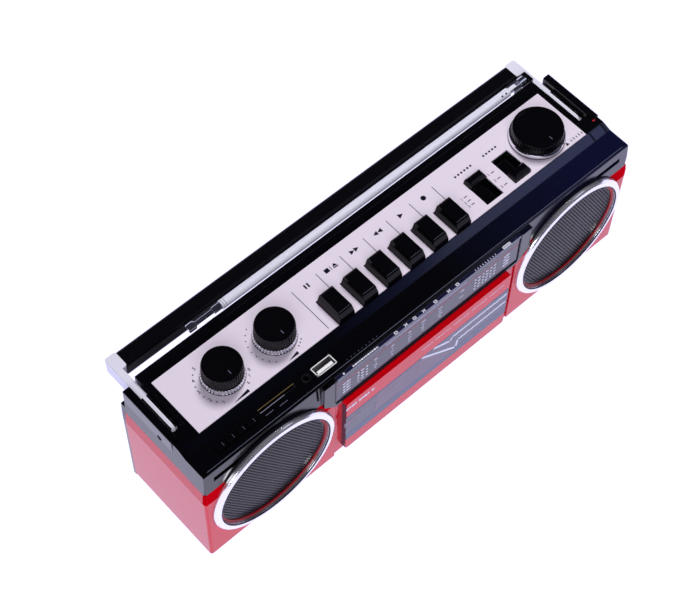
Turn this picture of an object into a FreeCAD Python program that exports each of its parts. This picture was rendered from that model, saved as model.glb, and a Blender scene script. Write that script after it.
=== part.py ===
import FreeCAD, Part
import math
import os
import Sketcher
from FreeCAD import Placement, Rotation, Vector

# Portable radio cassette player: a wide, shallow case with two round speakers, a front
# cassette door, keys and knobs on the top deck, a swinging carrying handle and a rod antenna.
# X runs along the width, Y from the front to the back, Z up.  The origin lies under the
# middle of the object, on the surface it stands on.  All sizes are in millimetres.

doc = FreeCAD.newDocument("CassettePlayer")
sheet = doc.addObject("Spreadsheet::Sheet", "Dimensions")

DRIVING = [
    # case
    ("case_width", 345.0), ("case_depth", 74.4), ("seam_depth", 70.6), ("deck_height", 108.0),
    ("brow_height", 105.5), ("brow_depth", 15.5), ("band_bottom", 85.0), ("slope_bottom", 74.0),
    ("bulge", 2.4), ("flare", 1.3), ("base_top", 5.6), ("base_bottom", 2.5), ("base_inset", 2.0),
    ("wall", 2.5), ("corner_radius", 1.8), ("foot_radius", 6.0), ("foot_inset", 22.0),
    ("rail_rise", 1.6), ("rail_front", 27.0), ("rail_overhang", 0.6),
    # fits
    ("gap", 0.3), ("running_gap", 0.08), ("seam_gap", 0.1),
    # top panel
    ("panel_inset", 15.5), ("panel_front", 22.0), ("panel_depth", 42.7), ("panel_thickness", 1.2),
    ("panel_proud", 0.4),
    # knobs
    ("knob_radius", 12.6), ("knob_height", 14.0), ("knob_skirt_radius", 13.5), ("knob_row", 41.3),
    ("volume_inset", 49.0), ("bass_inset", 88.3), ("tuning_inset", 40.3), ("tuning_radius", 16.8),
    ("tuning_skirt_radius", 18.2), ("tuning_height", 10.4), ("shaft_radius", 3.0),
    # keys
    ("key_pitch", 19.05), ("key_width", 12.0), ("key_start", 51.2), ("key_length", 20.0),
    ("key_rise", 7.5), ("key_facet", 2.2), ("key_tail", 13.0),
    # slide switches
    ("function_place", 79.9), ("band_place", 104.15), ("well_width", 14.0), ("well_front", 24.8),
    ("well_length", 21.8), ("slider_length", 6.8), ("slider_rise", 4.2), ("slider_width", 13.2),
    ("slider_drop", 6.2), ("slider_start", 0.4), ("slider_travel", 13.6), ("shutter_thickness", 0.9),
    # front dial
    ("bezel_half_width", 85.0), ("bezel_bottom", 72.0), ("bezel_slant", 9.5), ("bezel_proud", 2.9),
    ("lens_half_width", 75.5), ("lens_bottom", 74.5), ("lens_top", 104.0), ("lens_thickness", 1.8),
    ("scale_setback", 3.2), ("pointer_width", 1.4), ("pointer_start", 60.0),
    # cassette door
    ("door_half_width", 75.2), ("door_bottom", 6.4), ("door_top", 70.5), ("door_proud", 1.4),
    ("door_thickness", 2.6), ("boss_half_width", 69.0), ("boss_bottom", 11.0), ("boss_top", 69.4),
    ("boss_proud", 5.4), ("window_bottom", 22.6), ("window_top", 53.0), ("window_thickness", 1.6),
    ("hinge_depth", 3.0), ("hinge_height", 9.2), ("hinge_pin_radius", 1.5), ("hinge_pin_length", 4.0),
    ("cassette_width", 102.4), ("cassette_thickness", 12.0), ("holder_wall", 1.5), ("holder_top", 50.0),
    # speakers
    ("speaker_inset", 48.3), ("speaker_height", 53.5), ("ring_outer", 46.6), ("ring_inner", 41.5),
    ("ring_proud", 5.5), ("ring_seat", 0.9), ("grille_thickness", 1.2), ("cone_radius", 35.0),
    ("cone_depth", 14.0), ("cone_thickness", 0.8), ("basket_depth", 19.0), ("magnet_radius", 20.0),
    ("magnet_depth", 11.0),
    # handle
    ("handle_behind", 21.6), ("grip_depth", 11.5), ("arm_inset", 5.5), ("arm_width", 4.6),
    ("arm_rise", 12.0), ("arm_top", 105.0), ("cap_width", 8.0), ("pivot_depth", 38.6),
    ("slot_inset", 4.5), ("slot_width", 6.5), ("slot_front", 32.3), ("slot_floor", 91.0),
    ("pivot_radius", 2.0),
    # antenna
    ("antenna_behind", 3.7), ("antenna_height", 108.3), ("antenna_radius", 3.0),
    ("antenna_left", 78.0), ("antenna_right", 316.0), ("elbow_place", 321.5), ("elbow_radius", 3.2),
    ("mid_radius", 2.35), ("rod_radius", 1.5), ("mid_show", 6.0), ("rod_show", 13.0),
    ("peg_radius", 1.4), ("cheek_reach", 3.0), ("cheek_rise", 1.9), ("tip_radius", 2.85),
    ("tip_length", 6.5), ("tube_wall", 0.55),
    # sockets and small buttons on the brow
    ("usb_inset", 97.4), ("usb_row", 9.0), ("usb_outer_x", 15.0), ("usb_outer_y", 7.2),
    ("usb_open_x", 13.4), ("usb_open_y", 5.8), ("socket_depth", 14.0), ("card_inset", 63.3),
    ("card_row", 11.0), ("card_outer_x", 27.4), ("card_outer_y", 3.4), ("card_open_x", 25.0),
    ("card_open_y", 1.8), ("aux_inset", 84.5), ("aux_row", 9.6), ("aux_radius", 3.0),
    ("aux_bore", 1.75), ("button_inset", 19.8), ("button_pitch", 7.6), ("button_x", 6.0),
    ("button_y", 4.6), ("button_row", 8.6), ("button_rise", 1.0),
    # tape deck
    ("chassis_front", 19.0), ("chassis_thickness", 1.6), ("chassis_half_width", 60.0),
    ("chassis_top", 80.0), ("spindle_spacing", 42.5),
    ("spindle_height", 38.0), ("spindle_radius", 4.6), ("spindle_nose", 8.0),
    ("capstan_place", 30.0), ("capstan_height", 64.0), ("capstan_radius", 1.2),
    ("flywheel_radius", 15.0), ("flywheel_thickness", 5.0), ("flywheel_front", 24.0),
    ("motor_place", 36.0), ("motor_height", 26.0), ("motor_radius", 14.0), ("motor_length", 13.0),
    ("pulley_radius", 4.0), ("belt_width", 2.4), ("belt_thickness", 0.9), ("head_travel", 4.0),
    ("pinch_radius", 2.6),
    # power and boards
    ("battery_half_width", 52.0), ("battery_bottom", 14.0), ("battery_top", 58.0),
    ("battery_front", 46.0), ("tub_wall", 1.6), ("door_lip", 1.4), ("board_height", 88.0),
    ("board_thickness", 1.6), ("ferrite_radius", 4.0), ("ferrite_length", 90.0),
    ("inlet_place", 88.0), ("inlet_height", 30.0), ("transformer_width", 40.0),
]


class Size:
    """A length that knows its value and the sheet expression that it comes from."""

    def __init__(self, text, value):
        self.text = text
        self.value = value

    def join(self, other, sign, value, swapped=False):
        other_text = other.text if isinstance(other, Size) else repr(float(other))
        pair = (other_text, self.text) if swapped else (self.text, other_text)
        return Size("(" + pair[0] + " " + sign + " " + pair[1] + ")", value)

    def __add__(self, other):
        return self.join(other, "+", self.value + number(other))

    def __radd__(self, other):
        return self.join(other, "+", number(other) + self.value, True)

    def __sub__(self, other):
        return self.join(other, "-", self.value - number(other))

    def __rsub__(self, other):
        return self.join(other, "-", number(other) - self.value, True)

    def __mul__(self, other):
        return self.join(other, "*", self.value * number(other))

    def __rmul__(self, other):
        return self.join(other, "*", number(other) * self.value, True)

    def __truediv__(self, other):
        return self.join(other, "/", self.value / number(other))

    def __neg__(self):
        return Size("(0 - " + self.text + ")", -self.value)


def number(size):
    return size.value if isinstance(size, Size) else float(size)


class Sizes:
    """The driving dimensions, one attribute for each alias of the sheet."""


s = Sizes()
for row, (alias, value) in enumerate(DRIVING, start=1):
    sheet.set("A" + str(row), alias)
    sheet.set("B" + str(row), str(value))
    sheet.setAlias("B" + str(row), alias)
    setattr(s, alias, Size("Dimensions." + alias, value))
doc.recompute()

nodes = {}
AXIS_TURN = {"x": Rotation(Vector(0, 1, 0), 90), "y": Rotation(Vector(1, 0, 0), -90), "z": Rotation()}
PLANE_TURN = {"xy": Rotation(), "xz": Rotation(Vector(1, 0, 0), 90), "yz": Rotation(Vector(1, 1, 1), 120)}
PLANE_NORMAL = {"xy": Vector(0, 0, 1), "xz": Vector(0, 1, 0), "yz": Vector(1, 0, 0)}


def bind(item, prop, size):
    """Tie a property to the sheet."""
    if isinstance(size, Size):
        item.setExpression(prop, size.text)
    else:
        item.setExpression(prop, repr(float(size)))


def place(item, x, y, z, turn=None):
    item.Placement = Placement(Vector(number(x), number(y), number(z)), turn or Rotation())
    bind(item, "Placement.Base.x", x)
    bind(item, "Placement.Base.y", y)
    bind(item, "Placement.Base.z", z)


def box(name, x, y, z):
    """A block between two limits on each axis."""
    item = doc.addObject("Part::Box", name)
    place(item, x[0], y[0], z[0])
    bind(item, "Length", x[1] - x[0])
    bind(item, "Width", y[1] - y[0])
    bind(item, "Height", z[1] - z[0])
    return item


def axis_point(axis, centre, start):
    u, v = centre
    return {"x": (start, u, v), "y": (u, start, v), "z": (u, v, start)}[axis]


def rod(name, axis, centre, radius, start, end):
    """A cylinder along an axis; centre holds its other two coordinates in X, Y, Z order."""
    item = doc.addObject("Part::Cylinder", name)
    place(item, *axis_point(axis, centre, start), AXIS_TURN[axis])
    bind(item, "Radius", radius)
    bind(item, "Height", end - start)
    return item


def cone(name, axis, centre, first_radius, last_radius, start, end):
    item = doc.addObject("Part::Cone", name)
    place(item, *axis_point(axis, centre, start), AXIS_TURN[axis])
    bind(item, "Radius1", first_radius)
    bind(item, "Radius2", last_radius)
    bind(item, "Height", end - start)
    return item


def taper(name, x, y, z, top_x, top_y):
    """A block whose top face is smaller or larger than its bottom face."""
    item = doc.addObject("Part::Wedge", name)
    limits = {"Xmin": x[0], "Xmax": x[1], "Zmin": -y[1], "Zmax": -y[0],
              "X2min": top_x[0], "X2max": top_x[1], "Z2min": -top_y[1], "Z2max": -top_y[0],
              "Ymin": z[0], "Ymax": z[1]}
    for prop, size in limits.items():
        setattr(item, prop, number(size))
        bind(item, prop, size)
    item.Placement = Placement(Vector(), Rotation(Vector(1, 0, 0), 90))
    return item


def draw(sketch, points):
    """Draw a closed outline whose corners are tied to the sheet."""
    values = [Vector(number(u), number(v), 0) for u, v in points]
    count = len(points)
    for i in range(count):
        sketch.addGeometry(Part.LineSegment(values[i], values[(i + 1) % count]), False)
    for i in range(count):
        sketch.addConstraint(Sketcher.Constraint("Coincident", i, 2, (i + 1) % count, 1))
    for i, (u, v) in enumerate(points):
        for kind, size in (("DistanceX", u), ("DistanceY", v)):
            start = number(size)
            if start == 0.0 and not isinstance(size, Size):
                axis_line = -2 if kind == "DistanceX" else -1
                sketch.addConstraint(Sketcher.Constraint("PointOnObject", i, 1, axis_line))
            else:
                index = sketch.addConstraint(Sketcher.Constraint(kind, -1, 1, i, 1, start))
                bind(sketch, "Constraints[" + str(index) + "]", size)


def prism(name, plane, points, start, end):
    """A flat outline on a plane, carried from one level to another."""
    sketch = doc.addObject("Sketcher::SketchObject", name + "_outline")
    level = {"xy": (0, 0, start), "xz": (0, start, 0), "yz": (start, 0, 0)}[plane]
    place(sketch, *level, PLANE_TURN[plane])
    draw(sketch, points)
    item = doc.addObject("Part::Extrusion", name)
    item.Base = sketch
    item.DirMode = "Custom"
    item.Dir = PLANE_NORMAL[plane]
    item.Solid = True
    bind(item, "LengthFwd", end - start)
    return item


def fuse(name, *parts):
    item = doc.addObject("Part::MultiFuse", name)
    item.Shapes = list(parts)
    item.Refine = True
    return item


def common(name, *parts):
    item = doc.addObject("Part::MultiCommon", name)
    item.Shapes = list(parts)
    item.Refine = True
    return item


def cut(name, base, *tools):
    item = doc.addObject("Part::Cut", name)
    item.Base = base
    item.Tool = tools[0] if len(tools) == 1 else fuse(name + "_tools", *tools)
    item.Refine = True
    return item


def group(name, *parts):
    """Separate solids that share one node."""
    item = doc.addObject("Part::Compound", name)
    item.Links = list(parts)
    return item


def round_edges(name, base, radius, wanted):
    """Round the edges that the test picks."""
    doc.recompute()
    item = doc.addObject("Part::Fillet", name)
    item.Base = base
    size = number(radius)
    item.Edges = [(i, size, size) for i, edge in enumerate(base.Shape.Edges, start=1) if wanted(edge)]
    return item


def along(axis):
    """A test for straight edges that run along an axis."""
    direction = {"x": Vector(1, 0, 0), "y": Vector(0, 1, 0), "z": Vector(0, 0, 1)}[axis]

    def test(edge):
        if not isinstance(edge.Curve, Part.Line):
            return False
        return abs(edge.Curve.Direction.dot(direction)) > 0.999
    return test


def turned(name, profile, x, y, z, turn=None):
    """A PartDesign body made by turning a profile of radius and height about its axis."""
    body = doc.addObject("PartDesign::Body", name)
    sketch = body.newObject("Sketcher::SketchObject", name + "_profile")
    plane = [f for f in body.Origin.OriginFeatures if f.Role == "XZ_Plane"][0]
    sketch.AttachmentSupport = (plane, [""])
    sketch.MapMode = "FlatFace"
    draw(sketch, profile)
    turning = body.newObject("PartDesign::Revolution", name + "_turning")
    turning.Profile = sketch
    turning.ReferenceAxis = (sketch, ["V_Axis"])
    turning.Angle = 360.0
    place(body, x, y, z, turn)
    return body


def flute(body, name, radius, cutter, count, height):
    """Cut a ring of equal flutes into the side of a turned knob."""
    sketch = body.newObject("Sketcher::SketchObject", name + "_flute")
    plane = [f for f in body.Origin.OriginFeatures if f.Role == "XY_Plane"][0]
    sketch.AttachmentSupport = (plane, [""])
    sketch.MapMode = "FlatFace"
    bind(sketch, "AttachmentOffset.Base.z", height)
    sketch.addGeometry(Part.Circle(Vector(number(radius), 0, 0), Vector(0, 0, 1), cutter), False)
    sketch.addConstraint(Sketcher.Constraint("Radius", 0, cutter))
    sketch.addConstraint(Sketcher.Constraint("PointOnObject", 0, 3, -1))
    index = sketch.addConstraint(Sketcher.Constraint("DistanceX", -1, 1, 0, 3, number(radius)))
    bind(sketch, "Constraints[" + str(index) + "]", radius)
    pocket = body.newObject("PartDesign::Pocket", name + "_groove")
    pocket.Profile = sketch
    pocket.Type = "ThroughAll"
    pocket.Reversed = True
    pattern = body.newObject("PartDesign::PolarPattern", name + "_flutes")
    pattern.Originals = [pocket]
    pattern.Axis = (sketch, ["N_Axis"])
    pattern.Angle = 360.0
    pattern.Occurrences = count
    body.Tip = pattern


def node(item, label):
    """Name a finished sub-part."""
    item.Label = label
    nodes[label] = item
    return item


# --- places worked out from the sizes -----------------------------------------------------

half = s.case_width / 2
handle_back = s.case_depth + s.handle_behind
face = -(handle_back - s.ring_proud) / 2
seam = face + s.seam_depth
back = face + s.case_depth
antenna_row = back + s.antenna_behind
red_front = face - s.bulge
red_half = half + s.bulge
band_half = half + s.flare
rear_half = red_half - s.gap
panel_top = s.deck_height + s.panel_proud
panel_front = face + s.panel_front
panel_back = panel_front + s.panel_depth
panel_half = half - s.panel_inset
speaker_x = half - s.speaker_inset
ring_front = face - s.ring_proud
lens_y = face - s.bezel_proud + 0.6
seat = face - s.ring_seat


# --- case ---------------------------------------------------------------------------------

def bezel_outline(spread):
    """The dial surround: a wide block whose lower corners are cut off at a slant."""
    side = s.bezel_half_width + spread
    low = s.bezel_bottom - spread
    shoulder = s.bezel_bottom + s.bezel_slant
    inner = side - s.bezel_slant
    top = s.brow_height - s.wall
    return [(-side, shoulder), (-inner, low), (inner, low), (side, shoulder), (side, top), (-side, top)]


def make_front_shell():
    """Red shell: front wall and both sides, sloping in under the black band."""
    ends = (-red_half, red_half)
    rounded = round_edges("red_rounded", box("red_block", ends, (red_front, seam + 20),
                          (s.base_top, s.band_bottom)), s.corner_radius, along("z"))
    lower = box("red_lower", ends, (red_front, seam), (s.base_top, s.slope_bottom))
    upper = taper("red_slope", ends, (red_front, seam), (s.slope_bottom, s.band_bottom),
                  (-band_half, band_half), (face - s.flare, seam))
    outer = common("red_outer", rounded, fuse("red_body", lower, upper))
    cavity_side = half - s.wall
    cavity = box("red_cavity", (-cavity_side, cavity_side), (face + s.wall - s.bulge, seam + 1),
                 (s.base_top - 1, s.band_bottom + 1))
    door_side = s.door_half_width + s.gap
    door_way = box("door_way", (-door_side, door_side), (red_front - 1, face + 6),
                   (s.base_top - 1, s.door_top + s.gap))
    dial_way = prism("dial_way", "xz", bezel_outline(s.seam_gap), red_front - 1, face + 6)
    holes = speaker_cuts(s.ring_inner - 1.5)
    shell = cut("red_shell", outer, cavity, door_way, dial_way, *holes)
    pads = []
    for side in (-1, 1):
        x = sorted((side * door_side, side * (door_side + 3)), key=number)
        pads.append(box("hinge_ear", x, (face - 0.4, face + 8), (s.base_top, s.hinge_height + 5)))
    bores = [rod("hinge_bore", "x", (face + s.hinge_depth, s.hinge_height),
                 s.hinge_pin_radius + s.running_gap, -door_side - 4, door_side + 4)]
    return node(cut("front_shell_body", fuse("red_shell_eared", shell, *pads), *bores), "front_shell")


def speaker_cuts(radius):
    """A round hole for each speaker and the shallow seat of its ring."""
    cuts = []
    for side in (-1, 1):
        centre = (side * speaker_x, s.speaker_height)
        cuts.append(rod("speaker_hole", "y", centre, radius, red_front - 1, face + 6))
        cuts.append(rod("ring_seat", "y", centre, s.ring_outer + s.seam_gap, red_front - 1, seat))
    return cuts


def handle_slots(name, front):
    """The two open slots that the handle's arms lie in."""
    slots = []
    for side in (-1, 1):
        x = sorted((side * (half - s.slot_inset), side * (half - s.slot_inset - s.slot_width)), key=number)
        slots.append(box(name, x, (front, back + 5), (s.slot_floor, s.deck_height + 5)))
    return slots


def pivot_bores(name, radius):
    """Holes across both ends of the case for the handle's pivot screws."""
    y = face + s.pivot_depth
    z = s.arm_top - s.arm_rise / 2
    reach = s.slot_inset + s.slot_width + 1.5
    spans = ((-half - 5, -half + reach), (half - reach, half + 5))
    return [rod(name, "x", (y, z), radius, *span) for span in spans]


def brow_cuts():
    """Openings in the front strip of the deck for buttons and sockets."""
    top = s.brow_height + 2
    low = s.brow_height - s.wall - 2
    cuts = []
    fit = s.seam_gap
    for centre, row, wide, deep in ((s.usb_inset, s.usb_row, s.usb_outer_x, s.usb_outer_y),
                                    (s.card_inset, s.card_row, s.card_outer_x, s.card_outer_y)):
        x = -half + centre
        y = face + row
        cuts.append(box("socket_cut", (x - wide / 2 - fit, x + wide / 2 + fit),
                        (y - deep / 2 - fit, y + deep / 2 + fit), (low, top)))
    cuts.append(rod("aux_cut", "z", (-half + s.aux_inset, face + s.aux_row), s.aux_radius + fit, low, top))
    for i in range(4):
        x = -half + s.button_inset + i * s.button_pitch
        y = face + s.button_row
        cuts.append(box("button_cut", (x - s.button_x / 2 - s.gap, x + s.button_x / 2 + s.gap),
                        (y - s.button_y / 2 - s.gap, y + s.button_y / 2 + s.gap), (low, top)))
    return cuts


def panel_cuts(low, high, knob_room):
    """Key, knob and switch openings shared by the silver panel and the deck under it."""
    cuts = []
    for i in range(6):
        x = -s.key_start + i * s.key_pitch
        cuts.append(box("key_cut", (x - s.gap, x + s.key_width + s.gap),
                        (panel_front - 1, panel_front + s.key_length + 3 * s.gap), (low, high)))
    for place_x in (s.function_place, s.band_place):
        cuts.append(box("well_cut", (place_x - s.well_width / 2, place_x + s.well_width / 2),
                        (face + s.well_front, face + s.well_front + s.well_length), (low, high)))
    for x in (-half + s.volume_inset, -half + s.bass_inset, half - s.tuning_inset):
        cuts.append(rod("shaft_cut", "z", (x, face + s.knob_row), s.shaft_radius + knob_room, low, high))
    return cuts


def make_top_shell():
    """Black shell: the band round the top of the case, the deck and the dial surround."""
    profile = [(face - s.flare, s.band_bottom), (face - s.flare, s.brow_height - 1.2),
               (face + 1.0, s.brow_height), (face + s.brow_depth, s.brow_height),
               (panel_front, s.deck_height), (seam, s.deck_height), (seam, s.band_bottom)]
    deck = prism("deck_profile", "yz", profile, -band_half, band_half)
    rounded = round_edges("band_rounded", box("band_block", (-band_half, band_half),
                          (face - s.flare, seam + 20), (s.band_bottom, s.deck_height)),
                          s.corner_radius, along("z"))
    draft = taper("band_draft", (-band_half, band_half), (face - s.flare, seam),
                  (s.band_bottom, s.deck_height), (-half, half), (face, seam))
    outer = common("band_outer", deck, rounded, draft)
    bezel = prism("bezel_block", "xz", bezel_outline(0), face - s.bezel_proud, face + s.wall)
    side = half - s.wall
    ceiling = s.brow_height - s.wall
    cavity_front = box("cavity_front", (-side, side), (face + s.wall, seam + 1), (s.band_bottom - 1, ceiling))
    cavity_back = box("cavity_back", (-side, side), (panel_front + s.wall, seam + 1),
                      (s.band_bottom - 1, s.deck_height - s.wall))
    hollow = cut("band_hollow", outer, cavity_front, cavity_back)
    troughs = []
    for end in (-1, 1):
        reach = half - s.slot_inset - s.slot_width - s.wall
        x = sorted((end * (half - 1.0), end * reach), key=number)
        troughs.append(box("trough", x, (face + s.slot_front - s.wall, seam),
                           (s.slot_floor - s.wall, s.deck_height)))
    rails = []
    for end in (-1, 1):
        x = sorted((end * (half - s.slot_inset), end * (half + s.rail_overhang)), key=number)
        rail = box("rail_block", x, (face + s.rail_front, seam), (s.slot_floor, s.deck_height + s.rail_rise))
        rails.append(round_edges("rail", rail, s.rail_rise / 2, along("y")))
    body = fuse("band_body", hollow, bezel, *troughs, *rails)
    window = box("dial_window", (-s.lens_half_width, s.lens_half_width),
                 (face - 20, face + s.wall + 1), (s.lens_bottom, s.lens_top))
    recess = box("panel_recess", (-panel_half - s.seam_gap, panel_half + s.seam_gap),
                 (panel_front - s.seam_gap, panel_back + s.seam_gap),
                 (panel_top - s.panel_thickness, s.deck_height + 5))
    vents = []
    for end in (-1, 1):
        x = sorted((end * (half - 6.5), end * (half - 28.0)), key=number)
        vents.append(box("vent_slot", x, (face - 5, face + 1.2), (s.deck_height - 14, s.deck_height - 10)))
    tools = handle_slots("arm_slot", face + s.slot_front) + brow_cuts() + vents
    tools += panel_cuts(s.deck_height - 12, s.deck_height + 5, s.gap)
    tools += pivot_bores("pivot_bore", s.pivot_radius) + speaker_cuts(s.ring_inner - s.ring_seat / 2)
    shell = cut("band_shell", body, window, recess, *tools)
    # the small hook that the folded antenna snaps into
    hook_x = -half + 63.0
    hook = prism("antenna_hook", "xy", [(hook_x, face + 65.4), (hook_x + 9.5, face + 65.4),
                 (hook_x + 8.0, back - 0.5), (hook_x + 1.5, back - 0.5)],
                 s.deck_height, s.deck_height + 1.2)
    return node(fuse("top_shell_body", shell, hook), "top_shell")


def make_rear_shell():
    """Black back cover with the battery compartment and the mains inlet."""
    low = s.base_bottom
    block = round_edges("rear_rounded", box("rear_block", (-rear_half, rear_half), (seam - 20, back),
                        (low, s.deck_height)), s.corner_radius, along("z"))
    ends = (-band_half, band_half)
    depth = (seam, back)
    slab = box("rear_slab", (-rear_half, rear_half), depth, (low, s.slope_bottom))
    slope = taper("rear_slope", (-rear_half, rear_half), depth, (s.slope_bottom, s.band_bottom), ends, depth)
    band = taper("rear_band", ends, depth, (s.band_bottom, s.deck_height), (-half, half), depth)
    outer = common("rear_outer", block, fuse("rear_solid", slab, slope, band))
    side = half - s.wall
    hollow = box("rear_hollow", (-side, side), (seam - 1, back - s.wall),
                 (low + s.wall, s.deck_height - s.wall))
    tub_side = s.battery_half_width + s.tub_wall
    tub_low = s.battery_bottom - s.tub_wall
    tub = box("battery_tub", (-tub_side, tub_side), (face + s.battery_front - s.tub_wall, back - 0.5),
              (tub_low, s.battery_top + s.tub_wall))
    z = s.antenna_height
    joint = -half + s.elbow_place
    bracket = box("antenna_bracket", (joint + 9.7, joint + 12.4),
                  (back - 1, antenna_row + s.elbow_radius), (z - 8, z + s.elbow_radius))
    body = fuse("rear_body", cut("rear_cover", outer, hollow), tub, bracket)
    peg_bore = rod("peg_bore", "x", (antenna_row, z), s.peg_radius + s.running_gap,
                   joint + 9, joint + 13)
    bay = box("battery_bay", (-s.battery_half_width, s.battery_half_width),
              (face + s.battery_front, back + 1), (s.battery_bottom, s.battery_top))
    lip = box("battery_lip", (-s.battery_half_width - s.door_lip, s.battery_half_width + s.door_lip),
              (back - s.tub_wall, back + 1), (s.battery_bottom - s.door_lip, s.battery_top + s.door_lip))
    ends = []
    for end in (-1, 1):
        x = sorted((end * (red_half + 1), end * (half - s.slot_inset - s.slot_width)), key=number)
        ends.append(box("rear_end", x, (seam - 1, back + 1), (s.slot_floor, s.deck_height + 1)))
    inlet_way = rounded_slot("inlet_way", 9.2, 5.2, back - 6, back + 1)
    return node(cut("rear_shell_body", body, bay, lip, inlet_way, peg_bore, *ends), "rear_shell")


def rounded_slot(name, half_width, half_rise, start, end):
    """The figure of the mains inlet: a bar with round ends, through the back."""
    straight = half_width - half_rise
    x = half - s.inlet_place
    bar = box(name + "_bar", (x - straight, x + straight), (start, end),
              (s.inlet_height - half_rise, s.inlet_height + half_rise))
    left = rod(name + "_left", "y", (x - straight, s.inlet_height), half_rise, start, end)
    right = rod(name + "_right", "y", (x + straight, s.inlet_height), half_rise, start, end)
    return fuse(name, bar, left, right)


def make_base():
    """Bottom plate and its four rubber feet."""
    side = half - s.base_inset + s.bulge
    plate = round_edges("base_rounded", box("base_block", (-side, side), (red_front + s.base_inset, seam),
                        (s.base_bottom, s.base_top)), s.corner_radius, along("z"))
    way = box("base_way", (-s.door_half_width - s.gap, s.door_half_width + s.gap),
              (red_front - 1, face + s.hinge_depth + 4), (s.base_bottom - 1, s.base_top + 1))
    node(cut("base_body", plate, way), "base_plate")
    feet = []
    for x in (-half + s.foot_inset, half - s.foot_inset):
        for y in (face + 12, seam - 12):
            feet.append(cone("foot", "z", (x, y), s.foot_radius - 1, s.foot_radius, 0, s.base_bottom))
    node(group("feet_group", *feet), "rubber_feet")


def make_battery_door():
    side = s.battery_half_width + s.door_lip - s.gap
    low = s.battery_bottom - s.door_lip + s.gap
    high = s.battery_top + s.door_lip - s.gap
    plate = box("battery_plate", (-side, side), (back - s.tub_wall + s.gap, back), (low, high))
    rib_pitch = 2.4
    rib_side = side - 6
    ribs = [box("battery_rib", (-rib_side, rib_side), (back, back + 0.5),
                (high - 6 - rib_pitch * i, high - 5 - rib_pitch * i))
            for i in range(3)]
    node(fuse("battery_door_body", plate, *ribs), "battery_door")


def make_panel():
    """Silver control panel let into the deck."""
    plate = box("panel_plate", (-panel_half, panel_half), (panel_front, panel_back),
                (panel_top - s.panel_thickness, panel_top))
    node(cut("panel_body", plate, *panel_cuts(s.deck_height - 3, panel_top + 1, s.gap)), "control_panel")


# --- dial ---------------------------------------------------------------------------------

def make_dial():
    """Clear dial cover, printed scale behind it, and the pointer between them."""
    side = s.lens_half_width - s.seam_gap
    lens = box("lens_plate", (-side, side), (lens_y, lens_y + s.lens_thickness),
               (s.lens_bottom + s.seam_gap, s.lens_top - s.seam_gap))
    node(lens, "dial_lens")
    scale_y = lens_y + s.lens_thickness + s.scale_setback
    scale_plate = box("scale_plate", (-side, side), (scale_y, scale_y + 1.2),
                      (s.lens_bottom + s.seam_gap, s.brow_height - s.wall - s.seam_gap))
    node(scale_plate, "dial_scale")
    x = -s.pointer_start
    blade = box("pointer_blade", (x - s.pointer_width / 2, x + s.pointer_width / 2),
                (lens_y + s.lens_thickness + 1.2, lens_y + s.lens_thickness + 2.2),
                (s.lens_bottom + 1.5, s.lens_top - 4))
    node(blade, "dial_pointer")


# --- cassette door ------------------------------------------------------------------------

def make_door():
    """Door with its raised middle, its window and the pocket that carries the cassette."""
    side = s.door_half_width
    y = face - s.door_proud
    plate = box("door_plate", (-side, side), (y, y + s.door_thickness), (s.door_bottom, s.door_top))
    boss_side = s.boss_half_width
    boss = round_edges("boss_rounded", box("boss_block", (-boss_side, boss_side),
                       (face - s.boss_proud, y + 1), (s.boss_bottom, s.boss_top)), 2.0, along("y"))
    window_hole = box("window_hole", (-boss_side + 3, boss_side - 3), (face - 20, face + 20),
                      (s.window_bottom + 3, s.window_top - 3))
    window_seat = box("window_seat", (-boss_side - 1, boss_side + 1),
                      (face - s.boss_proud - 1, face - s.boss_proud + s.window_thickness),
                      (s.window_bottom, s.window_top))
    hollow = box("boss_hollow", (-boss_side + 3, boss_side - 3), (face - s.boss_proud + 2.4, face + 20),
                 (s.boss_bottom + 3, s.boss_top - 3))
    ears = []
    pins = []
    for end in (-1, 1):
        x = sorted((end * side, end * (side - 4)), key=number)
        ears.append(box("door_ear", x, (y + 1, face + s.hinge_depth + 2.4),
                        (s.door_bottom, s.hinge_height + 3)))
        x = sorted((end * (side - 1), end * (side + s.hinge_pin_length - 1.2)), key=number)
        pins.append(rod("door_pin", "x", (face + s.hinge_depth, s.hinge_height), s.hinge_pin_radius, *x))
    body = cut("door_body", fuse("door_front", plate, boss), window_seat, window_hole, hollow)
    node(fuse("door_whole", body, *ears, *pins), "cassette_door")
    window = box("window_plate", (-boss_side, boss_side),
                 (face - s.boss_proud, face - s.boss_proud + s.window_thickness),
                 (s.window_bottom, s.window_top))
    node(window, "door_window")
    inner = s.cassette_width / 2 + 0.6
    outer = inner + s.holder_wall
    start = y + s.door_thickness
    end_y = start + s.cassette_thickness + s.holder_wall
    pocket = box("holder_block", (-outer, outer), (start, end_y), (s.door_bottom + 2.5, s.holder_top))
    room = box("holder_room", (-inner, inner), (start - 1, end_y - s.holder_wall),
               (s.door_bottom + 2.5 + s.holder_wall, s.holder_top + 1))
    hub_way = box("hub_way", (-inner + 12, inner - 12), (start - 1, end_y + 1),
                  (s.door_bottom + 10, s.holder_top + 1))
    node(cut("holder_body", pocket, room, hub_way), "cassette_holder")


# --- speakers -----------------------------------------------------------------------------

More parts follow.
